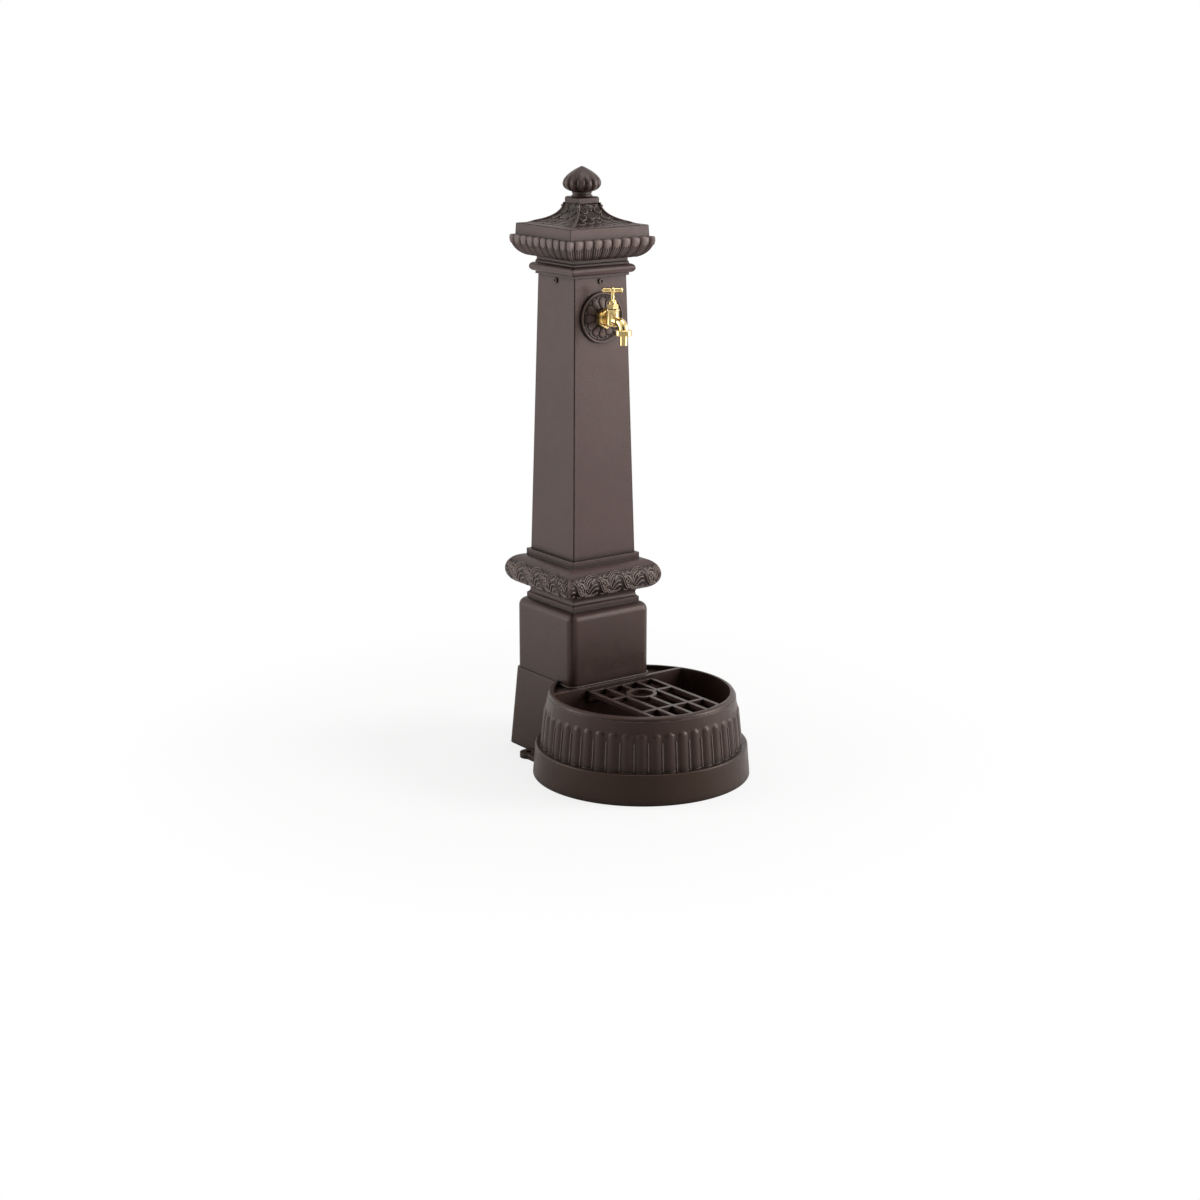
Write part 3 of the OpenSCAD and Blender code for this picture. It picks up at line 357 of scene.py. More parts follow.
def paint_material(name):
    """Satin paint on cast iron: soft casting skin, painted shade low down, on the roof and in recesses,
    dirt in the mitred joints, and worn edges with a painted highlight.
    """
    look = bpy.context.scene.fountain_finish
    material, tree, shader = start_material(name)
    place = object_place(tree)
    shade_and_dirt, edge = opaque(look.shade_and_joint_dirt_colour), opaque(look.wear_and_highlight_colour)
    broad = noise(tree, place, 7.0, 2.0)
    blotch = noise(tree, place, 38.0, 4.0)
    skin = noise(tree, place, 260.0)
    grain = noise(tree, place, 1100.0, 2.0)
    rounded = rounded_normal(tree, look.edge_radius)
    edges = edge_mask(tree, rounded)
    height = add_node(tree, "ShaderNodeSeparateXYZ", {"Vector": place}).outputs["Z"]
    colour = mix_colours(tree, ramp(tree, broad, 0.3, 0.7), opaque(look.paint_colour, (0.90, 0.90, 0.90)),
                         opaque(look.paint_colour, (1.12, 1.12, 1.12)))
    colour = mix_colours(tree, ramp(tree, blotch, 0.42, 0.75, 0.0, 0.35), colour,
                         opaque(look.paint_colour, (1.06, 0.90, 0.80)))
    # Painted shade: darker and browner towards the bottom and over the roof's hollow, cushion and finial
    browner = calculate(tree, "MAXIMUM", ramp(tree, height, *FOOT_SHADE_FADE, 0.0, 0.92),
                        ramp(tree, height, *ROOF_SHADE_FADE, 0.0, 0.60))
    colour = mix_colours(tree, browner, colour, opaque(look.foot_shade_colour))
    # Painted shade in the hollows, found by ambient occlusion
    colour = mix_colours(tree, hollow_shade_mask(tree), colour, shade_and_dirt)
    if name == "satin_iron_paint":
        dirt = mitre_dirt(tree, place, height, blotch)
        colour = mix_colours(tree, dirt, colour, shade_and_dirt)
        edges = calculate(tree, "SUBTRACT", edges, dirt, clamp=True)
    # Worn edges, partly a painted highlight along every edge
    worn_and_highlit = multiply(tree, edges, ramp(tree, blotch, 0.35, 0.65, 0.25, 0.9))
    colour = mix_colours(tree, worn_and_highlit, colour, edge)
    if name == "carved_iron_paint":
        # Painted shade in the carving's hollows and a painted highlight with worn paint on its crests, from
        # the stored attribute
        painted_light_and_wear = add_node(tree, "ShaderNodeAttribute", {}, attribute_name="painted_light_and_wear").outputs["Fac"]
        colour = mix_colours(tree, ramp(tree, painted_light_and_wear, 0.50, 0.12, 0.0, 0.90), colour, shade_and_dirt)
        colour = mix_colours(tree, ramp(tree, painted_light_and_wear, 0.56, 0.95, 0.0, 0.60), colour, edge)
    cast = fine_relief(tree, 0.35, 0.0006, skin, rounded)
    gloss = look.paint_roughness
    fill(tree, shader, {
        "Base Color": colour,
        "Roughness": ramp(tree, blotch, 0.25, 0.75, gloss - 0.05, gloss + 0.09),
        "Metallic": 0.0,
        "IOR": 1.5,
        "Specular IOR Level": 0.30,
        "Specular Tint": (1.0, 0.86, 0.78, 1.0),
        "Normal": fine_relief(tree, 0.25, 0.0003, grain, cast),
    })
    return material


def plain_material(name, colour, metallic, roughness):
    """An even finish without a pattern."""
    material, tree, shader = start_material(name)
    fill(tree, shader, {"Base Color": opaque(colour), "Metallic": metallic, "Roughness": roughness})
    return material


def brass_material(name):
    """Even polished brass."""
    look = bpy.context.scene.fountain_finish
    return plain_material(name, look.brass_colour, 0.9, look.brass_roughness)


def rubber_material(name):
    """Even black rubber, matt."""
    return plain_material(name, (0.0314, 0.0314, 0.0314), 0.0, 0.75)


def zinc_material(name):
    """Zinc plated steel with a soft crystal pattern."""
    material, tree, shader = start_material(name)
    place = object_place(tree)
    cells = add_node(tree, "ShaderNodeTexVoronoi", {"Vector": place, "Scale": 160.0}).outputs["Color"]
    cloud = noise(tree, place, 70.0, 4.0)
    grey = mix_colours(tree, ramp(tree, cloud, 0.3, 0.7), (0.46, 0.47, 0.49, 1.0), (0.60, 0.61, 0.62, 1.0))
    fill(tree, shader, {
        "Base Color": mix_colours(tree, 0.10, grey, cells, "OVERLAY"),
        "Roughness": ramp(tree, cloud, 0.3, 0.7, 0.30, 0.45),
        "Metallic": 1.0,
    })
    return material


FINISHES = {
    "satin_iron_paint": paint_material,
    "carved_iron_paint": paint_material,
    "bright_brass": brass_material,
    "zinc_plate": zinc_material,
    "matt_rubber": rubber_material,
}


def finish_of(name):
    """The material of that name, made when it is first asked for."""
    return bpy.data.materials.get(name) or FINISHES[name](name)


# Mesh building blocks


def smooth_shading_group():
    """A node group that joins a frame node's loose triangles and shades all but its real edges smooth."""
    group = bpy.data.node_groups.get("smooth_casting")
    if group:
        return group
    group = bpy.data.node_groups.new("smooth_casting", "GeometryNodeTree")
    for in_out in ("INPUT", "OUTPUT"):
        group.interface.new_socket("Geometry", in_out=in_out, socket_type="NodeSocketGeometry")
    source = group.nodes.new("NodeGroupInput").outputs[0]
    plain = add_node(group, "GeometryNodeRemoveAttribute", {"Geometry": source, "Name": "custom_normal"})
    joined = add_node(group, "GeometryNodeMergeByDistance",
                      {"Geometry": plain.outputs[0], "Distance": NODE_JOIN})
    faces = add_node(group, "GeometryNodeSetShadeSmooth",
                     {"Geometry": joined.outputs[0], "Shade Smooth": True})
    angle = group.nodes.new("GeometryNodeInputMeshEdgeAngle").outputs["Unsigned Angle"]
    steep = add_node(group, "FunctionNodeCompare", {0: angle, 1: math.radians(31.0)},
                     operation="GREATER_THAN")
    edges = add_node(group, "GeometryNodeSetShadeSmooth",
                     {"Geometry": faces.outputs[0], "Selection": steep.outputs[0], "Shade Smooth": False},
                     domain="EDGE")
    finish = group.nodes.new("NodeGroupOutput")
    group.links.new(edges.outputs[0], finish.inputs[0])
    return group


def dress_node(name, material):
    """Gives a frame node its material, and smooth shading by modifiers that leave its mesh as it is."""
    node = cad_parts[name]
    node.data.materials.clear()
    node.data.materials.append(finish_of(material))
    joiner = node.modifiers.new("smooth_casting", "NODES")
    joiner.node_group = smooth_shading_group()
    weigh_normals(node)


def weigh_normals(piece):
    """Lets the large faces lead the smooth shading, so long thin triangles don't show."""
    weighted = piece.modifiers.new("weighted_normals", "WEIGHTED_NORMAL")
    weighted.keep_sharp = True
    weighted.weight = 100


def add_piece(name, bm, material, replaced=(), body="root", crease=40.0):
    """Makes the finished bmesh an object that rides on a body of the frame."""
    mesh = bpy.data.meshes.new(name)
    bm.to_mesh(mesh)
    bm.free()
    mesh.shade_smooth()
    mesh.set_sharp_from_angle(angle=math.radians(crease))
    mesh.materials.append(finish_of(material))
    piece = bpy.data.objects.new(name, mesh)
    bpy.context.scene.collection.objects.link(piece)
    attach(piece, body)
    if replaced:
        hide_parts(*replaced)
    return piece


def read_points(bm):
    """The places of a mesh's points, one row for each."""
    return np.array([v.co[:] for v in bm.verts], float)


def move_points(bm, places):
    """Puts a mesh's points at the places."""
    for vertex, place in zip(bm.verts, places):
        vertex.co = place


def store_painted_light_and_wear(bm, values):
    """Stores painted light on the carving: 0 for painted shade in the hollows, 0.5 on plain paint and 1 for
    a painted highlight with worn paint on the crests.
    """
    layer = bm.verts.layers.float.new("painted_light_and_wear")
    for vertex, value in zip(bm.verts, np.clip(values, 0, 1)):
        vertex[layer] = value


def node_copy(name):
    """A copy of a frame node's mesh, with its loose triangles joined."""
    bm = bmesh.new()
    bm.from_mesh(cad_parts[name].data)
    bmesh.ops.remove_doubles(bm, verts=bm.verts, dist=NODE_JOIN)
    return bm


def open_rims(bm):
    """The edges with a face on one side only."""
    return [edge for edge in bm.edges if edge.is_boundary]


def draw_rims(bm):
    """Draws a new strip from the open rims and returns its far points, which still lie on the rims."""
    drawn = bmesh.ops.extrude_edge_only(bm, edges=open_rims(bm))["geom"]
    return [item for item in drawn if isinstance(item, bmesh.types.BMVert)]


def four_sides(bm):
    """Repeats the front side round the column and joins the mitres."""
    front = bm.verts[:] + bm.edges[:] + bm.faces[:]
    for turn in (1, 2, 3):
        copy = bmesh.ops.duplicate(bm, geom=front)["geom"]
        verts = [item for item in copy if isinstance(item, bmesh.types.BMVert)]
        bmesh.ops.rotate(bm, verts=verts, matrix=Matrix.Rotation(turn * math.pi / 2, 3, "Z"))
    bmesh.ops.remove_doubles(bm, verts=bm.verts, dist=MITRE_JOIN)


def close_inside(bm, half_width, height):
    """Draws the open rims of a square ring together on one square line inside the casting."""
    for point in draw_rims(bm):
        reach = max(abs(point.co.x), abs(point.co.y))
        point.co = (point.co.x * half_width / reach, point.co.y * half_width / reach, height)
    bmesh.ops.remove_doubles(bm, verts=bm.verts, dist=MITRE_JOIN)
    bmesh.ops.recalc_face_normals(bm, faces=bm.faces)


def carve_round_column(name, bm, across, reach, height, inside, crease):
    """Makes a strip the carving of all four sides: across runs from -1 to 1 between the mitres, reach and
    height are metres, and inside is the half width and height of the line that closes it."""
    move_points(bm, np.stack([across * reach, -reach, height], 1))
    four_sides(bm)
    close_inside(bm, *inside)
    add_piece(name, bm, "carved_iron_paint", crease=crease)


def relief_grid(columns, rows):
    """A flat grid, and how far across and up it each point lies, from 0 to 1."""
    bm = bmesh.new()
    bmesh.ops.create_grid(bm, x_segments=columns, y_segments=rows, size=0.5)
    places = read_points(bm)
    return bm, places[:, 0] + 0.5, places[:, 1] + 0.5


def lay_on_profile(profile, share):
    """Places and outward directions at shares of a profile's length, and the length before and after."""
    steps = np.hypot(*np.diff(profile, axis=0).T)
    length = np.concatenate([[0.0], np.cumsum(steps)])
    slope = np.gradient(profile, length, axis=0)
    slope /= np.hypot(slope[:, 0], slope[:, 1])[:, None]
    at = share * length[-1]
    place = np.stack([np.interp(at, length, profile[:, k]) for k in (0, 1)], 1)
    facing = np.stack([np.interp(at, length, slope[:, 1]), np.interp(at, length, -slope[:, 0])], 1)
    return place, facing, at, length[-1] - at


def arc_points(centre, radius, start, end, count):
    """Points on an arc from a start to an end in degrees."""
    angle = np.radians(np.linspace(start, end, count))
    return np.stack([centre[0] + radius * np.cos(angle), centre[1] + radius * np.sin(angle)], 1)


def smooth_path(points, steps=5):
    """A smooth line through given points."""
    points = [np.array(p, float) for p in points]
    line = []
    for i in range(len(points) - 1):
        before = points[max(i - 1, 0)]
        after = points[min(i + 2, len(points) - 1)]
        for k in range(steps):
            t = k / steps
            line.append(0.5 * (2 * points[i] + (points[i + 1] - before) * t
                               + (2 * before - 5 * points[i] + 4 * points[i + 1] - after) * t * t
                               + (3 * points[i] - before - 3 * points[i + 1] + after) * t ** 3))
    line.append(points[-1])
    return np.array(line)


def distance_to_path(x, y, line):
    """Distance of each point from the line, and how far along it the nearest point is, from 0 to 1."""
    best = np.full(x.shape, 1e9)
    along = np.zeros(x.shape)
    count = len(line) - 1
    for i in range(count):
        a, d = line[i], line[i + 1] - line[i]
        t = np.clip(((x - a[0]) * d[0] + (y - a[1]) * d[1]) / (d @ d), 0, 1)
        gap = np.hypot(x - a[0] - t * d[0], y - a[1] - t * d[1])
        nearer = gap < best
        best = np.where(nearer, gap, best)
        along = np.where(nearer, (i + t) / count, along)
    return best, along


def plate_face(height):
    """Distance of the shaft's front face from the axis at a height, in millimetres."""
    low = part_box("shaft_plate_front")[0]
    lean = math.tan(math.radians(bpy.context.scene.fountain_ornament.plate_lean))
    return -low.y / MM - lean * (height - low.z / MM)


def drum_reach(sizes, height):
    """Radius of the basin's tapered drum at a height, in millimetres."""
    share = (height - DRUM_FOOT) / DRUM_RISE
    return sizes.drum_radius / MM - sizes.drum_taper / MM * share


def bump_of(distance, half_width):
    """A round ridge of height 1 whose sides reach 0 at the half width."""
    t = np.clip(1 - (distance / half_width) ** 2, 0, 1)
    return t * (2 - t)


def fade(value, low, high):
    """Rises softly from 0 at the low value to 1 at the high one."""
    t = np.clip((value - low) / (high - low), 0, 1)
    return t * t * (3 - 2 * t)


# The big roll's scroll band: one repeat in millimetres, along the roll and up round it

SCROLL_RING = [(-33, 8), (-27, 5), (-22, -4), (-19, -12), (-20.5, -2), (-19, 8), (-12, 17), (-2, 20.5),
               (8, 19), (15, 13.5), (19.5, 5), (23, -4), (28, -12), (35, -17), (43, -17)]
SCROLL_UNDER = [(-26, -11), (-19, -17), (-9, -22), (3, -22.5), (13, -19)]
SCROLL_VOLUTE = [(24, 5), (29, 8), (34.5, 6), (36.5, 0.5), (34, -4.5), (29, -5.5), (26.5, -1.5), (29, 2)]
SCROLL_LEAVES = [
    [(-13, -9), (-10, 2), (-3, 9), (5, 9)],
    [(-9, -13), (-4, -4), (3, 1), (11, 1)],
    [(-3, -16), (2, -10), (8, -7), (14, -8)],
    [(-16, -4), (-14, 6), (-9, 12), (-3, 15)],
    [(-2, 4), (3, 12), (9, 12), (14, 7)],
]
SCROLL_TIPS = [[(-12, -27), (-7, -24), (-2, -26), (4, -24), (9, -27)], [(24, -22), (30, -24), (36, -21)],
               [(19, 15), (24, 12), (29, 15)], [(28, 17), (33, 13), (39, 14)]]
SCROLL_STROKES = (  # path, steps between its points, half width, half gap of a double stroke, height
    (SCROLL_RING, 5, 1.35, 1.9, 1.0),
    (SCROLL_UNDER, 5, 1.25, 1.7, 0.9),
    (SCROLL_VOLUTE, 5, 1.5, 0.0, 1.0),
) + tuple((path, 3, 1.5, 0.0, 0.8) for path in SCROLL_TIPS)
SCROLL_EYE = (30.8, 0.5)  # middle of the button inside the volute
SCROLL_SPAN = ((-48, 56), (-34, 30))  # how far one repeat reaches, along the roll and round it


def scroll_relief(x, a, pitch):
    """Relief height from 0 to 1 of the scroll band, x along the roll and a up round it, in millimetres."""
    total = np.zeros(x.shape)
    (left, right), (under, over) = SCROLL_SPAN
    for k in range(-2, 3):
        u = x - k * pitch
        near = (u > left) & (u < right) & (a > under) & (a < over)
        if not near.any():
            continue
        un, an = u[near], a[near]
        height = 0.9 * bump_of(np.hypot(un - SCROLL_EYE[0], an - SCROLL_EYE[1]), 2.2)
        for path, steps, half_width, half_gap, top in SCROLL_STROKES:
            gap, _ = distance_to_path(un, an, smooth_path(path, steps))
            height = np.maximum(height, top * bump_of(gap - half_gap, half_width))
        for path in SCROLL_LEAVES:
            gap, along = distance_to_path(un, an, smooth_path(path, 3))
            height = np.maximum(height, (0.9 - 0.2 * along) * bump_of(gap, 1.9 * (1.1 - 0.45 * along)))
        total[near] = np.maximum(total[near], height)
    return total


# Steps


class FOUNTAIN_OT_castings(bpy.types.Operator):
    """Paints the cast iron parts and the screws in them"""

    bl_idname = "fountain.castings"
    bl_label = "Paint castings"

    def execute(self, context):
        for name in IRON_NODES + ("plate_screws",):
            dress_node(name, "satin_iron_paint")
        return {"FINISHED"}


class FOUNTAIN_OT_brasswork(bpy.types.Operator):
    """Polishes the tap and the other brass parts"""

    bl_idname = "fountain.brasswork"
    bl_label = "Polish brasswork"

    def execute(self, context):
        for name in BRASS_NODES:
            dress_node(name, "bright_brass")
        return {"FINISHED"}


class FOUNTAIN_OT_hardware(bpy.types.Operator):
    """Finishes the steel and rubber parts inside the column"""

    bl_idname = "fountain.hardware"
    bl_label = "Finish hidden hardware"

    def execute(self, context):
        for name in STEEL_NODES:
            dress_node(name, "zinc_plate")
        for name in RUBBER_NODES:
            dress_node(name, "matt_rubber")
        return {"FINISHED"}


class FOUNTAIN_OT_roll_scrolls(bpy.types.Operator):
    """Adds the carved scroll band round the pedestal's big roll"""

    bl_idname = "fountain.roll_scrolls"
    bl_label = "Carve roll scrolls"

    def execute(self, context):
        sizes = context.scene.fountain_ornament
        centre = sizes.roll_half_width
        radius = PEDESTAL_HIGH.x - centre
        middle = PEDESTAL_LOW.z + ROLL_RISE * MM
        bm, across, up = relief_grid(296, 80)
        across, up = 2 * across - 1, 2 * up - 1
        angle = (0.58 * up + 0.42 * up ** 3) * math.pi / 2
        round_it = radius * angle / MM
        half_length = (centre + radius * np.cos(angle)) / MM
        from_mitre = half_length * (1 - np.abs(across))
        carved = scroll_relief(across * half_length, round_it, sizes.scroll_pitch / MM)
        ends = fade(from_mitre, 1.0, 9.0)
        carved *= ends * fade(-round_it, -27.0, -22.0) * fade(round_it, -38.0, -30.0)
        # Painted shade over the scroll band between the strokes and a painted highlight on the strokes
        band = ends * fade(-round_it, -25.0, -19.0) * fade(round_it, -36.0, -28.0)
        store_painted_light_and_wear(bm, 0.5 + band * (1.45 * carved - 0.50))
        swell = radius + 0.00025 + sizes.scroll_height * carved
        carve_round_column("roll_scrolls", bm, across, centre + swell * np.cos(angle),
                           middle + swell * np.sin(angle), (centre, middle), 50.0)
        return {"FINISHED"}


class FOUNTAIN_OT_capital_leaves(bpy.types.Operator):
    """Adds the upright ribbed leaves round the capital's quarter-round"""

    bl_idname = "fountain.capital_leaves"
    bl_label = "Carve capital leaves"

    def execute(self, context):
        sizes = context.scene.fountain_ornament
        width = CAPITAL_HIGH.x / MM
        lip = CAPITAL_HIGH.z / MM
        radius = sizes.ovolo_radius / MM
        corner_leaf, ribs_a_leaf, cap_start = 11, 4, 43  # width, count, and height along the profile
        profile = np.vstack([
            arc_points((width - radius, lip - 5), radius, -88, 0, 60),
            arc_points((width - 3, lip - 3), 3, 4, 90, 12),
        ])
        bm, across, up = relief_grid(336, 60)
        across = 2 * across - 1
        place, facing, at, left = lay_on_profile(profile, up)
        step = 2 * (width - corner_leaf) / sizes.leaf_count
        from_middle = np.abs(across) * width
        leaf = from_middle / step + sizes.leaf_count / 2 % 1
        edge = np.where(from_middle < width - corner_leaf, 2 * (leaf % 1) - 1,
                        (from_middle - width) / corner_leaf)
        dome = np.clip(1 - np.abs(edge) ** 2.2, 0, 1) ** 0.6
        cap = fade(at - (cap_start + 8 * edge ** 2), -1.2, 0.8)
        ribs = 0.5 - 0.5 * np.cos(ribs_a_leaf * math.pi * (edge + 1))
        ribbed = (1 - cap) * fade(at, 5.0, 12.0)
        tongue = 0.22 + 0.26 * fade(at, 0.0, 30.0)
        carved = dome * (tongue * (1 - cap) + cap) + 0.44 * ribbed * ribs * np.clip(dome * 1.6, 0, 1)
        carved *= fade(at, -3.0, 3.0) * (0.3 + 0.7 * fade(left, 0.0, 3.0))
        # Painted shade low on the leaves, at their edges and between the ribs, and painted highlights on
        # the domes, ribs and caps
        shade = 0.32 * (1 - fade(at, 8.0, 36.0))
        store_painted_light_and_wear(bm, 0.5 - shade + 0.55 * (dome - 0.72) * (1 - cap) + 0.5 * ribbed * (ribs - 0.6)
                   + 0.75 * cap * (dome - 0.5))
        surface = (place + facing * (0.3 + sizes.leaf_height / MM * carved)[:, None]) * MM
        carve_round_column("capital_leaves", bm, across, surface[:, 0], surface[:, 1],
                           ((width - radius - 3) * MM, (lip - radius) * MM), 55.0)
        return {"FINISHED"}


class FOUNTAIN_OT_roof(bpy.types.Operator):
    """Casts the roof with its cushion rounded over the corners too"""

    bl_idname = "fountain.roof"
    bl_label = "Cast roof"

    def execute(self, context):
        sizes = context.scene.fountain_ornament
        rise, half_width = sizes.cushion_height, sizes.cushion_width
        low = ROOF_HIGH.z - rise
        bm = node_copy("roof")
        cut = bmesh.ops.bisect_plane(bm, geom=bm.verts[:] + bm.edges[:] + bm.faces[:], dist=0.000001,
                                     plane_co=(0, 0, low), plane_no=(0, 0, 1), clear_outer=True)["geom_cut"]
        bmesh.ops.bridge_loops(bm, edges=[item for item in cut if isinstance(item, bmesh.types.BMEdge)])
        cushion = bmesh.ops.create_cube(bm, size=1.0)["verts"]
        sunk = 0.0002
        bmesh.ops.scale(bm, verts=cushion, vec=(2 * half_width, 2 * half_width, rise + 2 * sunk))
        bmesh.ops.translate(bm, verts=cushion, vec=(0, 0, low + rise / 2 - sunk))
        for kind, radius in (("sides", 0.009), ("top", 0.005), ("foot", 0.0035)):
            edges = self.cushion_edges(bm, kind, low, low + rise / 2, half_width - 0.0095)
            bmesh.ops.bevel(bm, geom=edges, offset=radius, segments=7, profile=0.5, affect="EDGES",
                            material=-1)
        weigh_normals(add_piece("cast_roof", bm, "satin_iron_paint", replaced=("roof",),
                                crease=32.0))
        return {"FINISHED"}

    def cushion_edges(self, bm, wanted, low, middle, outside):
        """The cushion's upright edges, or its level edges at the top or the foot."""
        foot = low - 0.0003
        block = {face for vertex in bm.verts if vertex.co.z > foot for face in vertex.link_faces}
        edges = []
        for edge in {edge for face in block for edge in face.edges}:
            first, second = (vertex.co for vertex in edge.verts)
            level = abs(first.z - second.z) < 0.0001
            kind = "sides" if not level else "top" if first.z > middle else "foot"
            if kind == wanted and max(abs(first.x), abs(first.y)) > outside and first.z > foot:
                edges.append(edge)
        return edges


class FOUNTAIN_OT_roof_leaves(bpy.types.Operator):
    """Adds the overlapping leaf lobes that sweep down the roof from its hips"""

    bl_idname = "fountain.roof_leaves"
    bl_label = "Carve roof leaves"

    def execute(self, context):
        sizes = context.scene.fountain_ornament
        top = (ROOF_HIGH.z - sizes.cushion_height) / MM
        low = top - sizes.roof_rise / MM + 0.8
        neck, eaves = 24.0, ROOF_HIGH.x / MM - 2.5
        strip_width, lobe_length, stagger = 14.0, 27.0, 14.5
        turn = np.radians(np.linspace(0, 90, 400))
        power = 2 / 0.56
        profile = np.stack([neck + (eaves - neck) * np.cos(turn) ** power,
                            low + (top - low) * np.sin(turn) ** power], 1)
        bm, across, up = relief_grid(180, 120)
        across = 2 * across - 1
        place, facing, at, drop = lay_on_profile(profile, up)
        hip = place[:, 0] * (1 - np.abs(across))
        rib = bump_of(hip - 1.9, 1.7) * fade(at, 8.0, 30.0)
        knot = 1.3 * bump_of(np.hypot(hip, drop - 7.0), 4.2)
        lean = math.radians(sizes.leaf_lean)
        cross = drop * math.cos(lean) - (hip - 4.0) * math.sin(lean)
        sweep = (hip - 4.0) * math.cos(lean) + drop * math.sin(lean)
        strip = np.floor(cross / strip_width)
        side = 2 * (cross / strip_width - strip) - 1
        lobe = ((sweep + stagger * strip) / lobe_length) % 1
        tip = np.clip((lobe - 0.66) / 0.34, 0, 1)
        inner = np.clip(1 - np.abs(side) ** 2.4 - tip ** 2, 0, 1)
        rim = bump_of(inner - 0.30, 0.30) * fade(lobe, 0.05, 0.5)
        spread = fade(hip, 3.4, 5.5) * fade(drop, 0.0, 4.0)
        spread *= fade(at, 3.0, 20.0) * (1 - 0.45 * fade(drop, 30.0, 75.0))
        scales = ((0.12 + 0.50 * lobe) * inner ** 0.45 + 0.42 * rim) * spread
        carved = np.maximum(np.maximum(rib, knot), scales)
        # Painted highlights on the hip rib, the knots and the lobes' rims, and painted shade inside the
        # lobes
        store_painted_light_and_wear(bm, 0.5 + np.where(carved > scales, 0.30 * carved, spread * (0.85 * rim - 0.42)))
        surface = (place + facing * (0.35 + sizes.feather_height / MM * carved)[:, None]) * MM
        carve_round_column("roof_leaves", bm, across, surface[:, 0], surface[:, 1],
                           ((neck - 2) * MM, (low + 1.0) * MM), 55.0)
        return {"FINISHED"}


class FOUNTAIN_OT_finial(bpy.types.Operator):
    """Makes the lobed onion finial on its two rings"""

    bl_idname = "fountain.finial"
    bl_label = "Turn finial"

    def execute(self, context):
        sizes = context.scene.fountain_ornament
        foot, tip = FINIAL_LOW.z / MM, FINIAL_HIGH.z / MM
        width = sizes.finial_radius / MM
        onion, belly = foot + 9, foot + 25
        rings = (foot + 1.5, foot + 7.2)
        groove = 3.4
        swell = np.radians(np.linspace(6, 90, 26))
        rise = np.linspace(0, 1, 61)[1:]
        profile = np.vstack([
            [(0.0, foot + 24), (5.0, foot + 24), (5.0, foot), (20.4, foot)],
            arc_points((19.6, rings[0]), 1.4, -70, 80, 8),
            [(18.9, foot + 3.4), (18.5, foot + 4.2), (18.5, foot + 5.6)],
            arc_points((18.7, rings[1]), 1.4, -75, 75, 8),
            [(18.2, onion - 0.1), (18.4, onion + 0.3)],
            np.stack([width / 2 - 1 + (width / 2 + 1) * np.sin(swell) ** 1.35,
                      belly - (belly - onion) * np.cos(swell)], 1),
            np.stack([width * np.cos(rise * math.pi / 2) ** 0.85, belly + (tip - belly) * rise], 1),
        ])
        depth = np.concatenate([
            np.zeros(len(profile) - len(swell) - len(rise)),
            np.sin(swell) ** 2,
            np.clip(np.cos(np.radians(150 * rise)), 0, 1),
        ])
        bm, across, up = relief_grid(240, len(profile) - 1)
        row = np.rint(up * (len(profile) - 1)).astype(int)
        turn = 2 * math.pi * across - math.pi / 2
        valley = 1 - np.abs(np.sin(sizes.finial_lobes * math.pi * across)) ** 0.8
        level = profile[row, 1]
        reach = profile[row, 0] - groove * depth[row] * valley
        move_points(bm, np.stack([reach * np.cos(turn), reach * np.sin(turn), level], 1) * MM)
        # Painted shade in the lobes' valleys and painted highlights on the lobes and the two rings
        ring = bump_of(level - rings[0], 2.2) + bump_of(level - rings[1], 2.0)
        store_painted_light_and_wear(bm, 0.5 + depth[row] * (0.22 - 0.75 * valley) + 0.38 * ring)
        bmesh.ops.remove_doubles(bm, verts=bm.verts, dist=SMALL_JOIN)
        bmesh.ops.recalc_face_normals(bm, faces=bm.faces)
        add_piece("lobed_finial", bm, "carved_iron_paint", replaced=("finial",), crease=48.0)
        return {"FINISHED"}


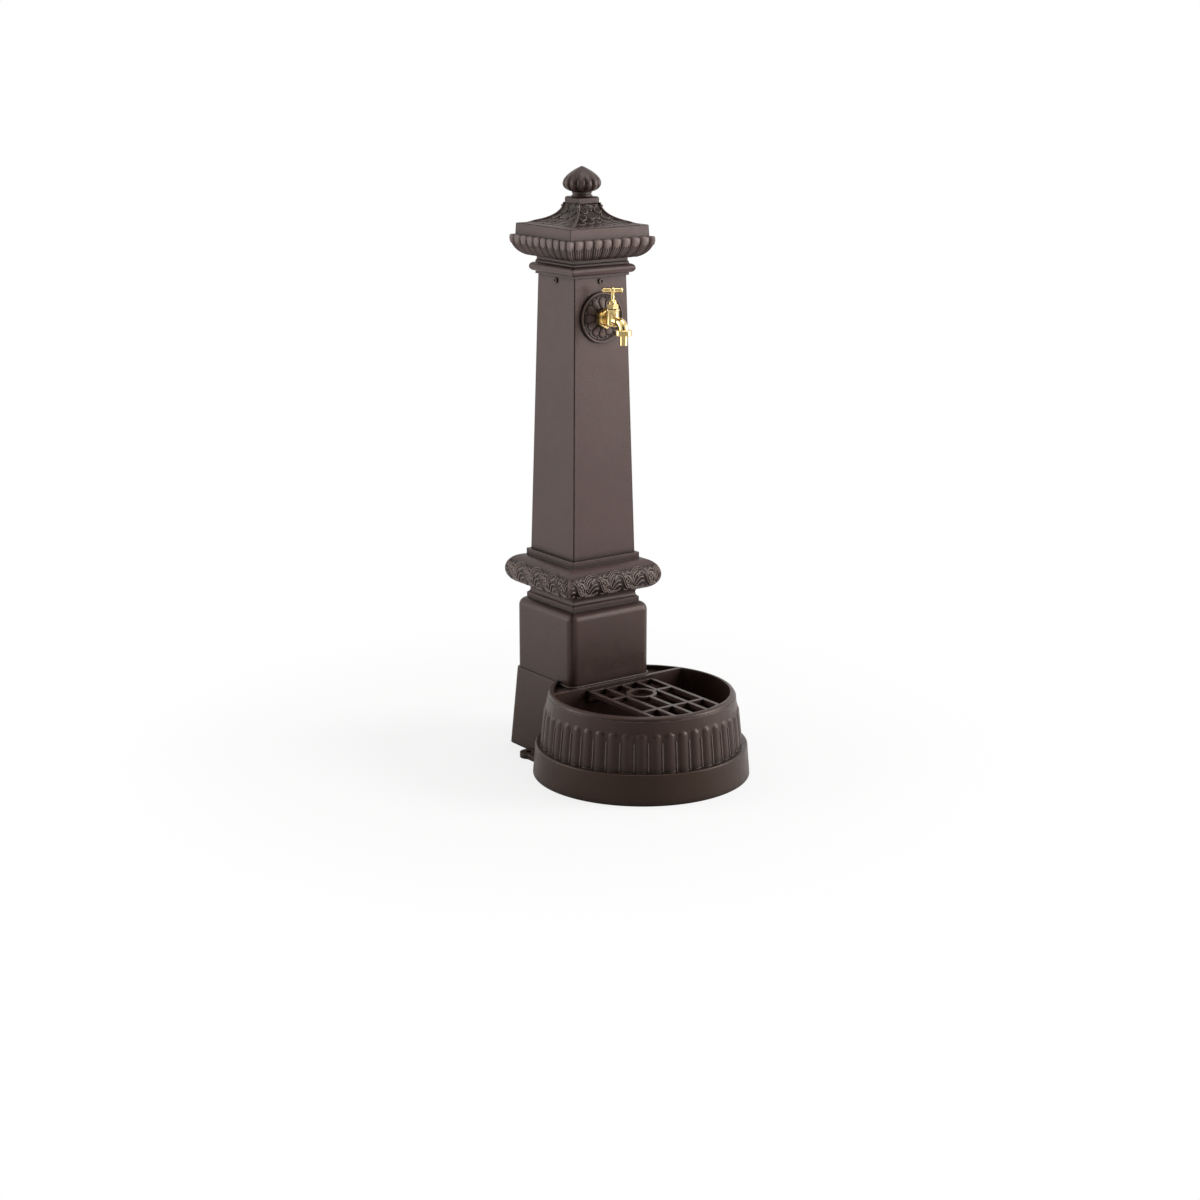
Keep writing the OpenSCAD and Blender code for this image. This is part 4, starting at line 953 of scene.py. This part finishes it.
class FOUNTAIN_OT_rosette(bpy.types.Operator):
    """Adds the ring of petals and the beaded rim behind the tap"""

    bl_idname = "fountain.rosette"
    bl_label = "Carve rosette"

    def execute(self, context):
        sizes = context.scene.fountain_ornament
        rim = (ROSETTE_HIGH.x - ROSETTE_LOW.x) / 2 / MM
        hub, petal_end, petal_width = 18.4, rim - 15.5, 8.8
        bm, across, up = relief_grid(288, 66)
        turn = 2 * math.pi * across
        radius = hub + (rim - hub) * up
        half = math.pi * radius / sizes.petal_count
        side = np.abs((across * sizes.petal_count + 0.5) % 1 - 0.5) * 2 * half
        tip_round = np.hypot(side, np.clip(radius - petal_end + 4, 0, None) * 0.95)
        inside = np.clip(1 - tip_round / np.minimum(half - 0.25, petal_width), 0, 1)
        petals = fade(inside, 0.0, 0.22) * (0.75 + 0.25 * inside)
        curl = 0.8 * bump_of(np.hypot(half - side, radius - (rim - 9.5)), 2.1)
        relief = np.maximum(petals, curl)
        field = 5.2 - 2.6 * fade(radius, 19.0, 33.0)
        bead = 5.8 * np.sqrt(np.clip(1 - ((radius - rim + 2.6) / 2.7) ** 2, 0, 1))
        step = 0.9 * bump_of(radius - rim + 7.2, 1.2)
        height = np.maximum(field + 0.25 + sizes.petal_height / MM * relief + step, bead)
        height = np.where(up > 0.999, 0.4, height)
        x, y, z = radius * np.cos(turn), -height, radius * np.sin(turn)
        tilt = math.radians(sizes.plate_lean)
        leaned = np.stack([
            x,
            y * math.cos(tilt) + z * math.sin(tilt),
            z * math.cos(tilt) - y * math.sin(tilt),
        ], 1)
        middle = (ROSETTE_LOW.z + ROSETTE_HIGH.z) / 2 / MM
        move_points(bm, (leaned + (0, -plate_face(middle), middle)) * MM)
        # Painted shade between the petals and painted highlights on the petals and the beaded rim
        ring = fade(radius, 20.0, 23.0) * fade(rim - radius, 4.0, 6.5)
        store_painted_light_and_wear(bm, 0.5 + ring * (0.62 * relief - 0.48) + 0.3 * bump_of(radius - rim + 2.4, 2.0))
        bmesh.ops.remove_doubles(bm, verts=bm.verts, dist=SMALL_JOIN)
        for point in draw_rims(bm):
            point.co.y = -plate_face(point.co.z / MM) * MM - 0.0001
        bmesh.ops.bridge_loops(bm, edges=open_rims(bm))
        bmesh.ops.recalc_face_normals(bm, faces=bm.faces)
        add_piece("petal_rosette", bm, "carved_iron_paint", crease=50.0)
        return {"FINISHED"}


class FOUNTAIN_OT_tap_body(bpy.types.Operator):
    """Rounds the tap's body in under the valve and swells it towards the spout"""

    bl_idname = "fountain.tap_body"
    bl_label = "Shape tap body"

    def execute(self, context):
        lift = context.scene.fountain_ornament.body_lift
        low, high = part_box("spindle")
        axis_y = (low.y + high.y) / 2
        level = (ROSETTE_LOW.z + ROSETTE_HIGH.z) / 2
        body_radius, spout_start = 13.6, 23.0
        bm = node_copy("tap_body")
        places = read_points(bm)
        away = np.hypot(places[:, 0], places[:, 1] - axis_y) / MM
        under = np.clip(level - places[:, 2], 0, None)
        before = places[:, 1] < axis_y
        near = 1 - fade(away, body_radius, spout_start) * before - (away > body_radius) * ~before
        places[:, 2] += lift * np.clip(near, 0, 1) * under
        move_points(bm, places)
        weigh_normals(add_piece("bib_tap_body", bm, "bright_brass",
                                replaced=("tap_body",), crease=31.0))
        return {"FINISHED"}


class FOUNTAIN_OT_darts(bpy.types.Operator):
    """Adds the thin darts between the basin's reeds"""

    bl_idname = "fountain.darts"
    bl_label = "Set darts"

    def execute(self, context):
        sizes = context.scene.fountain_ornament
        back, plinth_side = -84, 150
        basin_y = -sizes.basin_reach / MM
        darts = bmesh.new()
        for k in range(sizes.reed_count):
            turn = 2 * math.pi * k / sizes.reed_count - math.pi / 2
            x = sizes.drum_radius / MM * math.cos(turn)
            y = sizes.drum_radius / MM * math.sin(turn) + basin_y
            if y > back and abs(x) < plinth_side:
                continue
            self.add_dart(darts, sizes, turn, basin_y)
        places = read_points(darts) / MM
        proud = np.hypot(places[:, 0], places[:, 1] - basin_y) - drum_reach(sizes, places[:, 2])
        # Painted highlight on the darts, lighter the further they stand out of the drum
        store_painted_light_and_wear(darts, 0.5 + 0.30 * proud)
        add_piece("basin_darts", darts, "carved_iron_paint", crease=50.0)
        return {"FINISHED"}

    def add_dart(self, darts, sizes, turn, basin_y):
        """Adds one half-round dart with a round top on the drum, at a turn round the basin."""
        foot, top = DRUM_FOOT - 0.5, sizes.dart_top / MM
        half_width, stand_out, sunk, rounding = 1.5, 1.4, 0.6, 1.6
        bm, across, up = relief_grid(10, 40)
        side = 2 * across - 1
        height = foot + (top - foot) * up
        narrowing = np.sqrt(np.clip(1 - np.clip((height - top + rounding) / rounding, 0, 1) ** 2, 0, 1))
        proud = stand_out * np.sqrt(np.clip(1 - side ** 2, 0, 1)) * narrowing
        reach = drum_reach(sizes, height) - sunk + np.where(np.abs(side) > 0.99, 0, sunk + proud)
        aside = half_width * narrowing * side
        x = reach * math.cos(turn) - aside * math.sin(turn)
        y = reach * math.sin(turn) + aside * math.cos(turn) + basin_y
        move_points(bm, np.stack([x, y, height], 1) * MM)
        bmesh.ops.remove_doubles(bm, verts=bm.verts, dist=SMALL_JOIN)
        bmesh.ops.holes_fill(bm, edges=bm.edges, sides=0)
        bmesh.ops.recalc_face_normals(bm, faces=bm.faces)
        mesh = bpy.data.meshes.new("dart")
        bm.to_mesh(mesh)
        bm.free()
        darts.from_mesh(mesh)
        bpy.data.meshes.remove(mesh)


class FOUNTAIN_OT_stage(bpy.types.Operator):
    """Sets up the camera, the floor, the backdrop light and the lamps"""

    bl_idname = "fountain.stage"
    bl_label = "Set the stage"

    def execute(self, context):
        scene = context.scene
        stage = scene.fountain_stage
        scene.view_settings.view_transform = "Standard"

        lens = bpy.data.cameras.new("photo_camera")
        lens.sensor_width = 36.0
        lens.lens = stage.lens
        lens.clip_start = 0.05
        lens.clip_end = 60.0
        scene.camera = self.put_in(scene, lens, stage.camera_place, stage.camera_aim)

        self.floor(scene, stage)
        self.world(scene, stage)
        aim = Vector((0.0, -0.1, 0.6))
        for name, place, size, power in (
            ("right_softbox", (2.8, -2.35, 1.5), (1.9, 2.6), stage.right_power),
            ("left_softbox", (-2.95, 1.9, 1.5), (1.9, 2.6), stage.left_power),
            ("top_softbox", (0.3, -0.4, 3.4), (1.8, 1.8), stage.top_power),
        ):
            lamp = bpy.data.lights.new(name, "AREA")
            lamp.shape = "RECTANGLE"
            lamp.size, lamp.size_y = size
            lamp.energy = power
            self.put_in(scene, lamp, place, aim - Vector(place))
        return {"FINISHED"}

    def put_in(self, scene, data, place, direction):
        """Puts a camera or a lamp in the scene, looking in a direction."""
        holder = bpy.data.objects.new(data.name, data)
        holder.location = place
        holder.rotation_mode = "QUATERNION"
        holder.rotation_quaternion = Vector(direction).to_track_quat("-Z", "Y")
        scene.collection.objects.link(holder)
        return holder

    def rays(self, tree):
        """1 for rays that the camera sends, and 1 for rays that a mirror or glass sends on."""
        seen = tree.nodes.new("ShaderNodeLightPath").outputs
        sent_on = calculate(tree, "MAXIMUM", seen["Is Glossy Ray"], seen["Is Transmission Ray"])
        return seen["Is Camera Ray"], sent_on

    def floor(self, scene, stage):
        """A pale floor that stays white to the camera and darkens in reflections towards the viewer."""
        bm = bmesh.new()
        bmesh.ops.create_grid(bm, x_segments=1, y_segments=1, size=14.0)
        bmesh.ops.translate(bm, verts=bm.verts, vec=(0, 0, CAD_BOX[0].z - 0.0002))
        mesh = bpy.data.meshes.new("studio_floor")
        bm.to_mesh(mesh)
        bm.free()
        material, tree, shader = start_material("studio_floor")
        place = object_place(tree)
        cloud = noise(tree, place, 1.5, 2.0)
        pale = mix_colours(tree, cloud, opaque(stage.floor_colour),
                           opaque(stage.floor_colour, (0.985, 0.985, 0.985)))
        towards = Vector((-stage.camera_aim[0], -stage.camera_aim[1], 0)).normalized()
        ahead = reach_along(tree, place, towards)
        apart = add_node(tree, "ShaderNodeVectorMath", {0: place}, operation="LENGTH").outputs["Value"]
        beyond = ramp(tree, ahead, 3.2, 3.5, 0.0, 0.35)
        fill(tree, shader, {
            "Base Color": mix_colours(tree, beyond, pale, (0.03, 0.03, 0.03, 1.0)),
            "Roughness": 0.85,
        })
        glow = add_node(tree, "ShaderNodeEmission", {"Color": (1, 1, 1, 1), "Strength": 1.0})
        camera_ray, mirror_ray = self.rays(tree)
        dimmed = multiply(tree, calculate(tree, "SUBTRACT", 1.0, beyond),
                          ramp(tree, ahead, 0.45, 1.3, 1.0, 0.35))
        dimmed = multiply(tree, dimmed, ramp(tree, apart, 0.40, 1.40, 0.10, 1.0))
        mirrored = multiply(tree, mirror_ray, dimmed)
        lit = multiply(tree, calculate(tree, "MAXIMUM", camera_ray, mirrored),
                       ramp(tree, apart, 0.40, 1.0, 0.78, 1.0))
        blend = add_node(tree, "ShaderNodeMixShader", {0: lit, 1: shader.outputs[0], 2: glow.outputs[0]})
        output = next(node for node in tree.nodes if node.type == "OUTPUT_MATERIAL")
        tree.links.new(blend.outputs[0], output.inputs["Surface"])
        mesh.materials.append(material)
        floor = bpy.data.objects.new("studio_floor", mesh)
        scene.collection.objects.link(floor)

    def world(self, scene, stage):
        """A white tent beside and behind the fountain and a dark room behind the camera."""
        world = bpy.data.worlds.new("studio")
        world.use_nodes = True
        tree = world.node_tree
        tree.nodes.clear()
        camera_ray, mirror_ray = self.rays(tree)
        way = tree.nodes.new("ShaderNodeTexCoord").outputs["Generated"]
        front = reach_along(tree, way, Vector(stage.camera_aim).normalized() * -1)
        warmer = mix_colours(tree, ramp(tree, front, 0.1, 0.7), (1.0, 0.99, 0.98, 1.0),
                             (1.0, 0.72, 0.55, 1.0))
        white = (1, 1, 1, 1)
        tent = add_node(tree, "ShaderNodeBackground", {
            "Color": warmer, "Strength": ramp(tree, front, 0.0, 0.70, stage.tent_light, stage.room_light)})
        room = add_node(tree, "ShaderNodeBackground", {
            "Color": white, "Strength": ramp(tree, front, 0.78, 0.96, 1.0, stage.room_light)})
        plain = add_node(tree, "ShaderNodeBackground", {"Color": white, "Strength": 1.0})
        lit = add_node(tree, "ShaderNodeMixShader", {0: mirror_ray, 1: tent.outputs[0], 2: room.outputs[0]})
        both = add_node(tree, "ShaderNodeMixShader",
                        {0: camera_ray, 1: lit.outputs[0], 2: plain.outputs[0]})
        output = tree.nodes.new("ShaderNodeOutputWorld")
        tree.links.new(both.outputs[0], output.inputs["Surface"])
        scene.world = world


class FOUNTAIN_PT_panel(bpy.types.Panel):
    """Lists the fountain's settings and steps"""

    bl_idname = "FOUNTAIN_PT_panel"
    bl_label = "Column Fountain"
    bl_space_type = "VIEW_3D"
    bl_region_type = "UI"
    bl_category = "Fountain"

    def draw(self, context):
        for group in ("fountain_finish", "fountain_ornament", "fountain_stage"):
            box = self.layout.box()
            settings = getattr(context.scene, group)
            for name in settings.__annotations__:
                box.prop(settings, name)
        for step in STEPS:
            self.layout.operator(step.bl_idname)


STEPS = (
    FOUNTAIN_OT_castings,
    FOUNTAIN_OT_brasswork,
    FOUNTAIN_OT_hardware,
    FOUNTAIN_OT_roll_scrolls,
    FOUNTAIN_OT_capital_leaves,
    FOUNTAIN_OT_roof,
    FOUNTAIN_OT_roof_leaves,
    FOUNTAIN_OT_tap_body,
    FOUNTAIN_OT_finial,
    FOUNTAIN_OT_rosette,
    FOUNTAIN_OT_darts,
    FOUNTAIN_OT_stage,
)
CLASSES = (FinishSettings, OrnamentSettings, StageSettings) + STEPS + (FOUNTAIN_PT_panel,)


def register():
    for cls in CLASSES:
        bpy.utils.register_class(cls)
    bpy.types.Scene.fountain_finish = PointerProperty(type=FinishSettings)
    bpy.types.Scene.fountain_ornament = PointerProperty(type=OrnamentSettings)
    bpy.types.Scene.fountain_stage = PointerProperty(type=StageSettings)


def unregister():
    del bpy.types.Scene.fountain_stage
    del bpy.types.Scene.fountain_ornament
    del bpy.types.Scene.fountain_finish
    for cls in reversed(CLASSES):
        bpy.utils.unregister_class(cls)


def main():
    register()
    for step in STEPS:
        group, name = step.bl_idname.split(".")
        getattr(getattr(bpy.ops, group), name)()
    bpy.context.view_layer.update()


if __name__ == "__main__":
    main()
